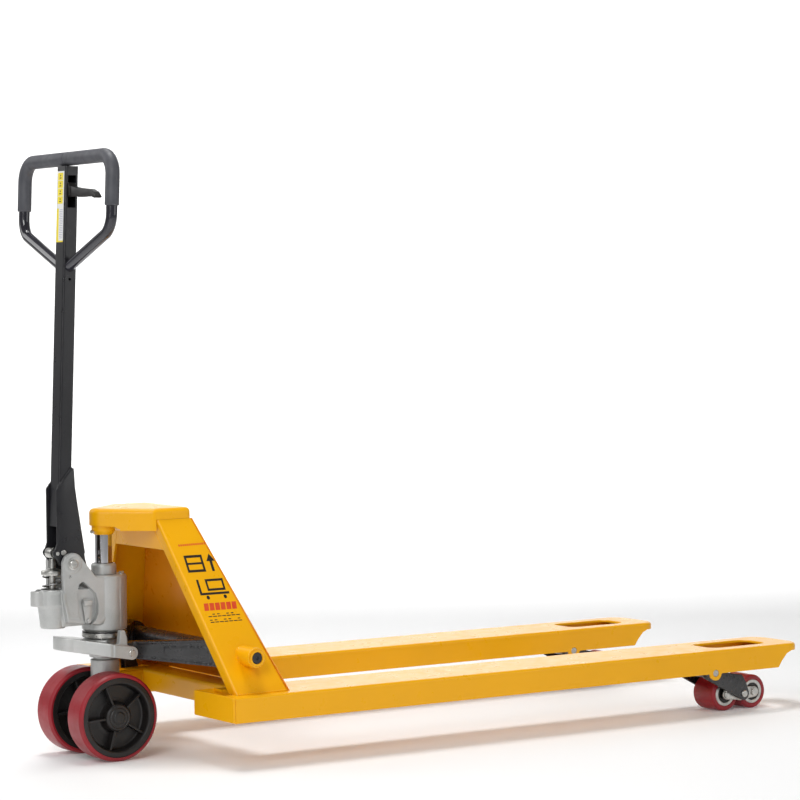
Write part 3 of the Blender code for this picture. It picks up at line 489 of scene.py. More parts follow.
def red_polyurethane():
    n = Nodes("red_polyurethane")
    colour = n.ramp(n.noise(22.0, 6.0), [(0.3, (0.255, 0.005, 0.012)), (0.7, (0.32, 0.007, 0.017))])
    scuff = n.spread(n.noise(160.0, 6.0, 0.7, (1, 0.2, 1)), 0.0, 0.1, 0.58, 0.8)
    colour = n.mix(scuff, colour, (0.36, 0.07, 0.07))
    fine = n.bump(n.noise(650.0, 3.0), 0.18, 0.0005)
    rough = n.spread(n.noise(60.0, 5.0), 0.34, 0.5)
    return n.set(Base_Color=colour, Roughness=rough, Normal=fine, Subsurface_Weight=0.04, Coat_Weight=0.06,
                 Coat_Roughness=0.25)


def cast_silver_paint():
    """Aluminium paint over a sand casting."""
    n = Nodes("cast_silver_paint")
    colour = n.ramp(n.noise(14.0, 6.0), [(0.3, (0.44, 0.45, 0.44)), (0.7, (0.58, 0.58, 0.57))])
    pits = n.spread(n.voronoi(700.0), 0.0, 0.5, 0.0, 0.5)
    colour = n.mix(n.spread(n.noise(260.0, 5.0, 0.7), 0.0, 0.22, 0.56, 0.75), colour, (0.22, 0.225, 0.22))
    sand = n.bump(n.noise(520.0, 6.0, 0.65), 0.45, 0.0006)
    lumps = n.bump(n.noise(70.0, 3.0), 0.25, 0.0015, sand)
    grain = n.bump(pits, 0.1, 0.0003, lumps)
    rough = n.spread(n.noise(120.0, 6.0), 0.34, 0.5)
    return n.set(Base_Color=colour, Roughness=rough, Normal=grain, Metallic=0.55)


def grained(name, tone, dark, light, bumps, gloss, **sockets):
    """Tone between two colours, bumps one over another, and gloss that is even or a noise's range."""
    n = Nodes(name)
    colour = n.ramp(n.noise(*tone), [(0.3, dark), (0.7, light)])
    normal = None
    for grain, strength, distance in bumps:
        normal = n.bump(n.noise(*grain), strength, distance, normal)
    if isinstance(gloss, tuple):
        gloss = n.spread(n.noise(*gloss[0]), *gloss[1])
    return n.set(Base_Color=colour, Roughness=gloss, Normal=normal, **sockets)


powder_coat("yellow_paint", YELLOW)
# darker copy of the yellow paint, painted shade for the sheltered front plate
powder_coat("shaded_yellow_paint", YELLOW_SHADED)
red_polyurethane()
cast_silver_paint()
grained("black_nylon", (30.0, 5.0), (0.007, 0.006, 0.006), (0.012, 0.01, 0.009),
        [((800.0, 3.0), 0.25, 0.0004)], ((50.0, 5.0), (0.34, 0.48)))
grained("black_paint", (12.0, 5.0), (0.009, 0.009, 0.011), (0.014, 0.014, 0.017),
        [((480.0, 2.0), 0.16, 0.0006)], ((45.0, 6.0), (0.26, 0.38)), Coat_Weight=0.1, Coat_Roughness=0.12)
grained("gloss_black_tube", (20.0, 4.0), (0.012, 0.012, 0.018), (0.022, 0.021, 0.03),
        [((350.0, 2.0), 0.05, 0.0006)], 0.14, Coat_Weight=0.5, Coat_Roughness=0.05)
grained("grip_rubber", (40.0, 6.0), (0.06, 0.062, 0.072), (0.082, 0.084, 0.096),
        [((900.0, 4.0), 0.3, 0.0004), ((60.0, 3.0), 0.1, 0.001)], ((90.0, 6.0), (0.46, 0.6)))
grained("chrome", (30.0, 3.0), (0.5, 0.5, 0.52), (0.58, 0.58, 0.6),
        [((600.0, 2.0, 0.5, (1, 1, 0.06)), 0.03, 0.0003)], ((200.0, 3.0), (0.04, 0.09)), Metallic=1.0)
grained("zinc_steel", (60.0, 6.0), (0.42, 0.42, 0.4), (0.62, 0.61, 0.58),
        [((700.0, 4.0), 0.14, 0.0004)], ((150.0, 5.0), (0.24, 0.4)), Metallic=1.0)
grained("black_casting", (18.0, 6.0), (0.012, 0.012, 0.013), (0.026, 0.026, 0.028),
        [((260.0, 5.0, 0.6), 0.35, 0.0012), ((45.0, 3.0), 0.35, 0.003)], ((70.0, 6.0), (0.22, 0.42)),
        Coat_Weight=0.3, Coat_Roughness=0.18)
grained("spring_steel", (80.0, 4.0), (0.3, 0.3, 0.3), (0.48, 0.48, 0.47),
        [((900.0, 3.0), 0.1, 0.0003)], 0.26, Metallic=1.0)
PRINTS = {                          # ink or label film: colour, worn colour, roughness
    "print_black": ((0.01, 0.009, 0.008), (0.022, 0.018, 0.01), 0.38),
    "print_grey": ((0.33, 0.35, 0.5), (0.5, 0.51, 0.6), 0.45),
    "print_red": ((0.66, 0.045, 0.012), (0.7, 0.085, 0.014), 0.38),
    "label_white": ((0.86, 0.86, 0.85), (0.8, 0.8, 0.78), 0.4),
    "label_yellow": ((0.93, 0.76, 0.02), (0.88, 0.7, 0.03), 0.4),
}
for print_name, (print_colour, worn, gloss) in PRINTS.items():
    grained(print_name, (60.0, 5.0), worn, print_colour, [((500.0, 3.0), 0.05, 0.0003)],
            ((120.0, 4.0), (gloss - 0.05, gloss + 0.08)))


def piece(obj, name, body, finish, stands_for=(), slot=None, sharp=38):
    """Name, finish and attach one finished shape."""
    obj.name = name
    obj.data.name = name
    obj.data.transform(Matrix.Translation((WHEEL_X, 0, 0)))
    obj.data.materials.clear()
    obj.data.materials.append(FINISHES[finish])
    obj.data.polygons.foreach_set("use_smooth", [True] * len(obj.data.polygons))
    obj.data.set_sharp_from_angle(angle=math.radians(sharp))
    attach(obj, body)
    if stands_for:
        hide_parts(*stands_for)
    return obj


def redraw(obj, node, body, finish, **options):
    """Attach a finished shape that stands for one CAD node."""
    return piece(obj, f"{node}_looks", body, finish, [node], **options)


def weighted(obj):
    """Flat faces keep flat shading beside their rounded edges."""
    modifier = obj.modifiers.new("weighted_normals", "WEIGHTED_NORMAL")
    modifier.keep_sharp = True
    modifier.weight = 80
    return obj


# ---- steer wheels ------------------------------------------------------------------------------
TREAD = 0.008
RIM = WHEEL_RADIUS - TREAD


def steer_wheels():
    for side, sign in SIDES.items():
        body = f"steer_wheel_{side}"
        centre = Vector((0, sign * WHEEL_Y, WHEEL_RADIUS))
        half = WHEEL_HALF
        web = 0.0045    # half thickness of the hub's disc
        edge = half - 0.0006
        face = [(0.0115, half + 0.0004), (0.0185, half + 0.0004), (0.02, half - 0.001),
                (0.0215, half - 0.001), (0.0225, half), (0.0252, half - 0.0006), (0.028, half - 0.004),
                (0.03, 0.012), (0.033, web + 0.0012), (0.04, web), (RIM - 0.019, web),
                (RIM - 0.016, web + 0.0016), (RIM - 0.014, half - 0.005), (RIM - 0.012, half - 0.0016),
                (RIM - 0.01, edge), (RIM - 0.0004, edge)]
        profile = [(radius, -height) for radius, height in face] + face[::-1]
        hub = turned(fillet(profile, 0.0012, 3), centre, "Y", 128)
        ribs = []
        for index in range(5):
            turn = Matrix.Rotation(math.radians(32.5 + 72 * index), 4, "Y")
            for face_sign in (-1, 1):
                low, high = span(face_sign, web - 0.001, half - 0.006)
                outline = [(0.026, low), (RIM - 0.012, low), (RIM - 0.012, high - 0.001),
                           (0.026, high + 0.001)]
                if face_sign < 0:
                    outline = [(0.026, low - 0.001), (RIM - 0.012, low + 0.001), (RIM - 0.012, high),
                               (0.026, high)]
                rib = prism(outline, "XY", -0.0023, 0.0023)
                rib = bevelled(rib, 0.001, 3)
                rib.data.transform(Matrix.Translation(centre) @ turn)
                ribs.append(rib)
        cap = turned(fillet([(0, 0), (0.013, 0), (0.013, 0.0022), (0.01, 0.004), (0, 0.0046)],
                            [0, 0, 0.0012, 0.002, 0], 4), (0, 0, 0), "Y", 64)
        if sign < 0:
            cap.data.transform(Matrix.Rotation(math.pi, 4, "Z"))
        cap.data.transform(Matrix.Translation(centre + Vector((0, sign * (half - 0.0012), 0))))
        redraw(join(hub, cap, *ribs), f"steer_wheel_hub_{side}", body, "black_nylon")
        tread = [(RIM - 0.0002, -half), (WHEEL_RADIUS - 0.0042, -half), (WHEEL_RADIUS, -half + 0.0055),
                 (WHEEL_RADIUS, half - 0.0055), (WHEEL_RADIUS - 0.0042, half), (RIM - 0.0002, half)]
        tyre = turned(fillet(tread, [0, 0.0018, 0.003, 0.003, 0.0018, 0], 5), centre, "Y", 160)
        redraw(tyre, f"steer_wheel_tyre_{side}", body, "red_polyurethane")


def wheel_axle():
    half = node_box("wheel_axle")[1].y
    shaft = rod(-half, half, 0.01, "Y", WHEEL_LINE, 48, 0.001)
    redraw(shaft, "wheel_axle", "pump", "zinc_steel")


# ---- steering base -----------------------------------------------------------------------------
BASE_LOW = 0.2047
BASE_TOP = 0.2318
BASE_SLOPE = -0.17
SEAT_TOP = 0.244
SEAT_RADIUS = 0.0323
RACE_SPLIT = 0.2468
RACE_TOP = 0.2595


def rounded_cylinder(low, high, radius, axis, centre, corner, segments=64):
    profile = [(0, low), (radius, low), (radius, high), (0, high)]
    return turned(fillet(profile, [0, corner, corner, 0], 4), centre, axis, segments)


def base_plate():
    """Plate that rises towards its rounded rear tip and widens to the lugs."""
    tip = arc((-0.054, 0), 0.0398, 178, 115, 16)
    outline = mirrored(tip + [(LUG.x - 0.048, 0.0858), (LUG.x - 0.022, 0.0858)])
    plate = prism(fillet(outline, 0.004, 3), "XY", BASE_LOW, BASE_TOP)
    for vertex in plate.data.vertices:
        vertex.co.z += BASE_SLOPE * (vertex.co.x - LUG.x)
    return plate


def steering_base():
    """Sloping plate with lugs, a raised boss round the strut and a slanted stop block on each lug."""
    boss = arc((STEER_X, 0), 0.0455, 110, 250, 24)
    parts = [base_plate(), prism(boss, "XY", BASE_TOP - 0.006, SEAT_TOP - 0.0006),
             rod(BASE_LOW + 0.0005, SEAT_TOP, SEAT_RADIUS, "Z", STEER_LINE, 64)]
    rise = -BASE_SLOPE * 0.04
    for sign in SIDES.values():
        outline = arc((LUG.x, LUG.z), 0.0137, -90, 90, 18)
        outline += [(LUG.x - 0.04, BASE_TOP + rise - 0.002), (LUG.x - 0.04, BASE_LOW + rise + 0.001)]
        parts.append(prism(outline, "XZ", *span(sign, 0.0602, 0.0878)))
        stop_low, stop_high = span(sign, 0.0608, 0.0738)
        stop = [(0.0139, 0.227), (0.0343, 0.227), (0.0343, 0.248), (0.0288, 0.2648), (0.0183, 0.2648)]
        parts.append(prism(stop, "XZ", stop_low, stop_high))
    bores = [rod(BASE_LOW - 0.03, SEAT_TOP + 0.03, 0.025, "Z", STEER_LINE),
             rod(-0.1, 0.1, 0.0075, "Y", LUG_LINE, 48)]
    body = cast(parts, CAST_VOXEL, 4, bores)
    faces = []
    for sign in SIDES.values():
        ring_low, ring_high = span(sign, 0.0872, 0.0882)
        face = turned([(0.0076, ring_low), (0.011, ring_low), (0.011, ring_high), (0.0076, ring_high)],
                      LUG_LINE, "Y", 48)
        faces.append(face)
    redraw(join(body, *faces), "steering_base", "steering_base", "cast_silver_paint")


def lug_pins():
    for side, sign in SIDES.items():
        pin = rod(*span(sign, 0.0332, 0.0905), 0.0072, "Y", LUG_LINE, 48, 0.0012)
        roll_pin = rod(-0.009, 0.009, 0.0014, "Z", (LUG.x, sign * 0.0893, LUG.z), 16, 0.0003)
        redraw(join(pin, roll_pin), f"lug_pin_{side}", "steering_base", "zinc_steel")


def bearing():
    low = SEAT_TOP + GAP
    lower = turned([(0.0265, low), (SEAT_RADIUS, low), (SEAT_RADIUS, RACE_SPLIT - 0.0002),
                    (0.0265, RACE_SPLIT - 0.0002)], STEER_LINE, "Z", 96)
    redraw(lower, "lower_bearing_race", "steering_base", "zinc_steel")
    low = RACE_SPLIT + 0.0002
    profile = [(0.0265, low), (0.0458, low), (0.0468, low + 0.0012), (0.0468, 0.2562), (0.044, 0.2564),
               (0.044, RACE_TOP), (0.0265, RACE_TOP)]
    upper = turned(fillet(profile, [0, 0.0004, 0.0004, 0.0005, 0.0003, 0.0004, 0], 3), STEER_LINE, "Z", 96)
    redraw(upper, "upper_bearing_race", "pump", "zinc_steel")
    seal = turned(fillet([(0.0442, 0.2566), (0.0462, 0.2566), (0.0456, 0.2593), (0.0442, 0.2593)],
                         0.0004, 3), STEER_LINE, "Z", 96)
    piece(seal, "bearing_seal", "pump", "black_nylon", slot="black_nylon")


# ---- pump --------------------------------------------------------------------------------------
STRUT_LOW = 0.088
STRUT_TOP = 0.2003
STRUT_RADIUS = 0.0298
BODY_TOP = 0.376
HOUSING_TOP = 0.352
EAR_IN = 0.03
EAR_OUT = 0.042
REAR_X = node_box("pump_body")[0].x


def pump_body():
    profile = [(0, RACE_TOP + GAP), (0.0418, RACE_TOP + GAP), (0.0418, 0.2622), (0.0448, 0.2622),
               (0.0464, 0.264), (0.0464, 0.3), (0.0461, 0.33), (0.0464, 0.35), (0.0464, BODY_TOP),
               (0, BODY_TOP)]
    parts = [turned(fillet(profile, [0, 0, 0.001, 0.001, 0.001, 0, 0, 0, 0.0045, 0], 5), STEER_LINE,
                    "Z", 96)]
    pad = arc((STEER_X, 0), 0.047, 288, 338, 16) + arc((STEER_X, 0), 0.04, 338, 288, 8)
    parts.append(prism(pad, "XY", 0.268, BODY_TOP - 0.005))
    housing = [(0, 0.272), (0.025, 0.272), (0.0262, 0.276), (0.0275, 0.29), (0.0305, 0.314), (0.033, 0.321),
               (0.033, HOUSING_TOP), (0, HOUSING_TOP)]
    parts.append(turned(fillet(housing, [0, 0.004, 0, 0, 0.004, 0.003, 0.0025, 0], 5), PLUNGER_LINE,
                        "Z", 96))
    lip = turned([(0.024, HOUSING_TOP - 0.007), (0.0336, HOUSING_TOP - 0.007),
                  (0.0336, HOUSING_TOP - 0.0005), (0.024, HOUSING_TOP - 0.0005)], PLUNGER_LINE, "Z", 96)
    parts.append(lip)
    bridge = [(CAM.x - 0.016, 0.32), (CAM.x - 0.016, HOUSING_TOP - 0.002), (STEER_X, HOUSING_TOP - 0.002),
              (STEER_X, 0.276), (CAM.x + 0.01, 0.276), (CAM.x + 0.002, 0.318)]
    parts.append(prism(bridge, "XZ", -0.028, 0.028))
    for sign in SIDES.values():
        outline = arc((PIVOT.x, PIVOT.z), 0.0223, 35, 180, 28)
        outline += [(PIVOT.x - 0.0223, 0.33), (PIVOT.x - 0.013, 0.285), (-0.011, 0.2755),
                    (STEER_X + 0.001, 0.291), (STEER_X + 0.001, 0.373), (-0.0186, 0.3745)]
        parts.append(prism(outline, "XZ", *span(sign, EAR_IN, EAR_OUT - 0.0004)))
        web = [(-0.081, 0.301), (-0.081, HOUSING_TOP - 0.004), (0.004, HOUSING_TOP - 0.004), (0.004, 0.301)]
        parts.append(prism(web, "XZ", *span(sign, 0.021, EAR_IN + 0.002)))
        disc = turned(fillet([(0.0, EAR_OUT - 0.001), (0.019, EAR_OUT - 0.001),
                              (0.0185, EAR_OUT + 0.0006), (0.0, EAR_OUT + 0.0006)], [0, 0, 0.0004, 0],
                             2), PIVOT_LINE, "Y", 64)
        if sign < 0:
            disc.data.transform(Matrix.Diagonal((1, -1, 1, 1)))
        parts.append(disc)
        rib = [(-0.0955, 0.345), (-0.0955, 0.33), (-0.083, 0.2885), (-0.01, 0.278), (0.006, 0.292),
               (0.006, 0.2985), (-0.012, 0.2845), (-0.0795, 0.2945), (-0.0895, 0.331), (-0.0895, 0.345)]
        parts.append(prism(rib, "XZ", *span(sign, EAR_OUT - 0.002, EAR_OUT + 0.0004)))
    nose = arc((REAR_X + 0.0166, 0), 0.016, 90, 270, 16) + [(CAM.x, -0.022), (CAM.x, 0.022)]
    parts.append(prism(nose, "XY", 0.319, HOUSING_TOP - 0.0025))
    window = [(-0.0615, 0.3), (-0.0635, 0.345), (-0.058, 0.3625), (-0.0505, 0.3675), (-0.045, 0.3645),
              (-0.0338, 0.355), (-0.0203, 0.342), (-0.0145, 0.32), (-0.015, 0.3), (-0.0212, 0.286),
              (-0.03, 0.279), (-0.052, 0.279)]
    pocket = arc((REAR_X + 0.0175, 0), 0.0085, 90, 270, 12) + [(-0.124, -0.0085), (-0.124, 0.0085)]
    cutters = [
        prism(fillet(window, 0.004, 4), "XZ", -0.1, -0.0285),
        prism(pocket, "XY", 0.333, 0.4),
        rod(0.266, 0.5, RAM_RADIUS + 0.0004, "Z", STEER_LINE),
        rod(0.309, 0.5, 0.024, "Z", PLUNGER_LINE),
        rod(0.2805, 0.4, 0.0067, "Z", PLUNGER_LINE),
        rod(-0.1, 0.1, 0.0072, "Y", PIVOT_LINE),
        rod(-0.1, -0.038, 0.0032, "Y", (-0.079, 0, 0.379)),
    ]
    body = cast(parts, CAST_VOXEL, 4, cutters)
    strut = rod(STRUT_LOW, STRUT_TOP, STRUT_RADIUS, "Z", STEER_LINE, 64, 0.001)
    stem = rod(0.195, RACE_TOP, 0.0243, "Z", STEER_LINE, 64)
    carrier = rounded_cylinder(-0.0385, 0.0385, 0.0222, "Y", WHEEL_LINE, 0.002)
    lower = cast([strut, stem, carrier], CAST_VOXEL, 3)
    redraw(join(body, lower), "pump_body", "pump", "cast_silver_paint", sharp=32)


def ear_faces():
    """Machined washers and the fastener of the handle's pivot."""
    head = [(0, -0.048), (0.0075, -0.048), (0.009, -0.047), (0.009, -0.0442), (0.0128, -0.044),
            (0.013, -0.0424), (0.007, -0.0424), (0.007, 0.0478), (0, 0.0478)]
    pin = turned(fillet(head, [0, 0.0006, 0.0006, 0, 0.0004, 0, 0, 0.001, 0], 3), PIVOT_LINE, "Y", 64)
    flats = turned([(0, -0.049), (0.0068, -0.049), (0.0074, -0.0484), (0.0074, -0.0472), (0, -0.0472)],
                   PIVOT_LINE, "Y", 6)
    washer = turned(fillet([(0.0072, 0.0424), (0.0125, 0.0424), (0.0125, 0.044), (0.0072, 0.044)],
                           0.0003, 2), PIVOT_LINE, "Y", 48)
    bends = ((0.0115, 0.006), (0.006, 0.001), (-0.009, -0.006), (-0.012, -0.01))
    split = bar_along([(PIVOT.x + u, 0.0458, PIVOT.z + v) for u, v in bends], 0.0009, 10, (0, 1, 0))
    redraw(join(pin, flats, washer, split), "handle_pivot_pin", "pump", "zinc_steel")


def ram_gland():
    profile = [(RAM_RADIUS + 0.0004, BODY_TOP + 0.0002), (0.0262, BODY_TOP + 0.0002), (0.0262, 0.3945),
               (0.0235, 0.399), (0.0205, 0.399), (0.0195, 0.3975), (RAM_RADIUS + 0.0004, 0.3975)]
    gland = turned(fillet(profile, [0, 0.0015, 0.002, 0.002, 0.001, 0, 0], 4), STEER_LINE, "Z", 96)
    redraw(gland, "ram_gland", "pump", "cast_silver_paint")
    wiper = turned(fillet([(RAM_RADIUS + 0.0001, 0.3955), (0.0197, 0.3955), (0.0195, 0.3992),
                           (RAM_RADIUS + 0.0012, 0.3998), (RAM_RADIUS + 0.0001, 0.3998)], 0.0003, 2),
                   STEER_LINE, "Z", 96)
    piece(wiper, "ram_wiper", "pump", "black_nylon", slot="black_nylon")


def oil_filler_plug():
    centre = (STEER_X + 0.03, -0.021, 0)
    plug = turned(fillet([(0, BODY_TOP), (0.0058, BODY_TOP), (0.0058, 0.3805), (0.005, 0.3815),
                          (0, 0.3815)], [0, 0, 0.0003, 0, 0], 2), centre, "Z", 6)
    washer = turned(fillet([(0, BODY_TOP - 0.0008), (0.0068, BODY_TOP - 0.0008),
                            (0.0068, BODY_TOP + 0.0006), (0, BODY_TOP + 0.0006)], [0, 0, 0.0003, 0], 2),
                    centre, "Z", 32)
    redraw(join(plug, washer), "oil_filler_plug", "pump", "zinc_steel")


def plunger():
    profile = [(0, 0.322), (0.0062, 0.322), (0.0062, 0.381), (0.0228, 0.381), (0.0234, 0.3835),
               (0.0234, 0.3885), (0.0222, 0.3905), (0.011, 0.3925), (0.007, 0.3955), (0.0066, 0.414),
               (0, 0.4145)]
    body = turned(fillet(profile, [0, 0, 0, 0.001, 0.001, 0.001, 0.001, 0.002, 0.002, 0.0008, 0], 4),
                  PLUNGER_LINE, "Z", 96)
    redraw(body, "pump_plunger", "plunger", "zinc_steel")


SPRING_LOW = 0.31
SPRING_HIGH = 0.381


def plunger_spring():
    turns = 3.5
    steps = 40
    wire = 0.0019
    count = int(turns * steps)
    path = []
    for step in range(count + 1):
        angle = 2 * math.pi * step / steps
        climb = step / count
        height = SPRING_LOW + wire + 0.0003 + (SPRING_HIGH - SPRING_LOW - 2 * wire - 0.0006) * climb
        path.append((CAM.x + 0.0195 * math.cos(angle), 0.0195 * math.sin(angle), height))
    coil = bar_along(path, wire, 12, (0, 0, 1))
    spring = redraw(coil, "plunger_spring", "pump", "spring_steel")
    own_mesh(spring)


def valve_lever():
    arm = prism(fillet(arc((VALVE.x, VALVE.z), 0.0065, 200, 340, 10)
                       + [(-0.026, 0.3), (-0.026, 0.322), (-0.03, 0.33), (-0.044, 0.33), (-0.047, 0.322),
                          (-0.044, 0.302)], 0.002, 3), "XZ", -0.035, -0.0305)
    arm = bevelled(arm, 0.0007, 2, 50)
    toe = bevelled(block((-0.046, -0.0405, 0.317), (-0.027, -0.034, 0.328)), 0.0015, 3)
    pin = rod(-0.04, -0.0335, 0.0045, "Y", middle(VALVE), 32, 0.0006)
    redraw(join(arm, toe, pin), "valve_lever", "valve_lever", "cast_silver_paint")


# ---- chassis -----------------------------------------------------------------------------------
NOSE_X = 1.556
TAPER_X = 1.591
LIP_Z = 0.13
CUT_LOW = 1.395
CUT_HIGH = 1.556
CUT_HALF = 0.042
CUT_ROUND = 0.0016    # the opening's edge is rounded by this
HEEL_OPEN = 0.172
CLEVIS_OPEN = 0.2405
ROLLER_NOTCH_X = 1.5738
ROLLER_NOTCH_HALF = 0.0387
ROD_Y = 0.238
FOLD = 0.0065


def quarter_round(plan, low, high, size, at_top, steps=8):
    """Rings of a plan between two heights, its top or bottom edge rounded by size."""
    rings = []
    for step in range(steps + 1):
        angle = math.pi / 2 * step / steps
        if at_top:
            rings.append(raised(inset(plan, size * (1 - math.cos(angle))),
                                high - size * (1 - math.sin(angle))))
        else:
            rings.append(raised(inset(plan, size * (1 - math.sin(angle))),
                                low + size * (1 - math.cos(angle))))
    return rings


def fork_outline(inner):
    """Plan of a fork: half widths along X from heel to tip, inner metres inside the outer skin."""
    half = FORK_HALF - inner
    plan = [(HEEL_X + SHEET + 0.0002, half), (TAPER_X, half)]
    plan += arc((TAPER_X - 0.001, half - 0.034), 0.034, 84, 20, 8)
    plan += [(TIP_X - inner, 0.046 - inner)]
    return plan


def fork_solid(inner):
    """Fork envelope lofted upward: the tip's underside steps in, and the top edge is folded over."""
    side_low = FORK_BOTTOM - (0.05 if inner else 0)
    slope = inner * 0.4
    if inner:
        side = [(HEEL_X, side_low), (HEEL_X, FORK_TOP - inner), (TIP_X - inner, FORK_TOP - inner),
                (TIP_X - inner, LIP_Z + inner + slope), (TAPER_X - slope, LIP_Z + inner),
                (NOSE_X - slope, FORK_BOTTOM + inner), (NOSE_X - slope, side_low)]
    else:
        scoop = [(NOSE_X, side_low), (NOSE_X + 0.01, side_low + 0.014), (TAPER_X - 0.01, LIP_Z - 0.006)]
        side = [(HEEL_X + SHEET + 0.0002, side_low), (HEEL_X + SHEET + 0.0002, FORK_TOP), (TIP_X, FORK_TOP),
                (TIP_X, LIP_Z), (TAPER_X + 0.004, LIP_Z)] + scoop[::-1]
    body = prism(side, "XZ", -FORK_HALF + inner, FORK_HALF - inner)
    plan = fork_outline(inner)
    outline = mirrored([(HEEL_X - 0.01, plan[0][1])] + plan[1:])
    if inner:
        envelope = prism(outline, "XY", -0.05, FORK_TOP + 0.01)
    else:
        folded = quarter_round(outline, 0, FORK_TOP, FOLD, True, 6)
        envelope = loft([raised(outline, 0.0)] + folded)
    return boolean(body, "INTERSECT", [envelope])


def fork(side, sign):
    shell = fork_solid(0)
    space = fork_solid(SHEET)
    ears = []
    for edge in (-1, 1):
        low, high = sorted((edge * (FORK_HALF - SHEET), edge * (FORK_HALF - 0.0001)))
        outline = arc((FORK_PIN.x, FORK_PIN.z), 0.016, 180, 350, 20)
        outline += [(FORK_PIN.x + 0.0175, FORK_BOTTOM - 0.001), (FORK_PIN.x + 0.022, 0.11),
                    (FORK_PIN.x - 0.03, 0.11), (FORK_PIN.x - 0.027, FORK_BOTTOM - 0.0005)]
        ears.append(prism(outline, "XZ", low, high))
    shell = union(cut(shell, space), *ears)
    plan = rounded((CUT_LOW, -CUT_HALF), (CUT_HIGH, CUT_HALF), 0.024, 10)
    rings = [raised(plan, 0.12)]
    for step in range(5):
        angle = math.pi / 2 * step / 4
        spread = CUT_ROUND * (1 - math.cos(angle)) * 0.8 + CUT_ROUND * math.sin(angle) * 0.2
        rings.append(raised(inset(plan, -spread), FORK_TOP - CUT_ROUND * math.cos(angle)))
    rings.append(raised(inset(plan, -0.004), FORK_TOP + 0.02))
    rod_y = -sign * (FORK_Y - ROD_Y)
    heel_low, heel_high = sorted((-sign * (FORK_HALF - SHEET), sign * (FORK_HALF - 0.042)))
    cutters = [
        loft(rings),
        block((HEEL_X - 0.02, heel_low, 0.12), (HEEL_OPEN, heel_high, 0.2)),
        block((HEEL_OPEN - 0.01, rod_y - 0.018, 0.12), (CLEVIS_OPEN, rod_y + 0.018, 0.2)),
        block((CUT_HIGH - 0.01, -ROLLER_NOTCH_HALF, 0.05), (ROLLER_NOTCH_X, ROLLER_NOTCH_HALF, LIP_Z)),
        rod(-0.2, 0.2, 0.0082, "Y", FORK_PIN_LINE, 48),
    ]
    shell = cut(shell, *cutters)
    shell.data.transform(Matrix.Translation((0, sign * FORK_Y, 0)))
    shell = bevelled(shell, 0.0006, 2, 50)
    weighted(redraw(shell, f"fork_{side}", "chassis", "yellow_paint", sharp=45))


def heel_plate(side, sign):
    centre = sign * FORK_Y
    half = FORK_HALF
    outline = fillet([(centre - half, FORK_BOTTOM + 0.001), (centre + half, FORK_BOTTOM + 0.001),
                      (centre + half, FORK_TOP - 0.0002), (centre - half, FORK_TOP - 0.0002)], 0.003, 4)
    plate = bevelled(prism(outline, "YZ", HEEL_X, HEEL_X + SHEET), 0.0012, 3, 50)
    parts = [plate]
    for edge in (-1, 1):
        corner = centre + edge * (half - 0.003)
        parts.append(weld_bead([(HEEL_X + SHEET, corner, 0.1), (HEEL_X + SHEET, corner, 0.14)], 0.0016))
    weighted(redraw(join(*parts), f"heel_plate_{side}", "chassis", "yellow_paint"))


def weld_bead(path, radius, pitch=0.0032):
    """Rippled fillet weld along a polyline."""
    points = []
    radii = []
    for start, end in zip(path, path[1:]):
        start, end = Vector(start), Vector(end)
        count = max(2, int((end - start).length / pitch * 4))
        for step in range(count):
            points.append(start.lerp(end, step / count))
    points.append(Vector(path[-1]))
    for index in range(len(points)):
        wave = math.cos(2 * math.pi * index / 4)
        uneven = noise.noise(points[index] * 90) * 0.12
        taper = min(1, (index + 1) / 5, (len(points) - index) / 5)
        radii.append(radius * (1 + 0.09 * wave + uneven) * (0.55 + 0.45 * taper))
    along = (points[-1] - points[0]).normalized()
    across = along.orthogonal()
    return bar_along(points, radii, 10, across)


PANEL_Y = (0.313, 0.0985)    # outer faces at the bottom and top edge
PANEL_TOP_Z = 0.4895
PANEL_REAR = (0.152, 0.0925)
PANEL_FRONT = (0.2715, 0.1712)
FLANGE = 0.032
NOSE_LOW = 0.4668
PANEL_SHEET = 0.006
PANEL_FOLD = 0.0085
SCREW_LINE = (STEER_X, 0, 0.4645)
HEAD_TOP = node_box("head_casting")[1].z


def panel_share(height):
    """Share of the way from the panels' bottom to their top edge."""
    return (height - FORK_TOP) / (PANEL_TOP_Z - FORK_TOP)


def blend(ends, share):
    return ends[0] + (ends[1] - ends[0]) * share


def panel_section(share, sign):
    """L-shaped section of a side panel, share of the way from its bottom to its top edge."""
    rear = blend(PANEL_REAR, share)
    front = blend(PANEL_FRONT, share)
    outer = blend(PANEL_Y, share)
    outline = [(front, outer), (rear, outer), (rear, outer - FLANGE), (rear + PANEL_SHEET, outer - FLANGE),
               (rear + PANEL_SHEET, outer - PANEL_SHEET), (front, outer - PANEL_SHEET)]
    outline = fillet(outline, [0.001, PANEL_FOLD, 0.0015, 0.0015, 0.003, 0.001], 6)
    return [(u, sign * v) for u, v in outline]


def panel_y(height):
    """Outer face of the side panels at a height."""
    return blend(PANEL_Y, panel_share(height))


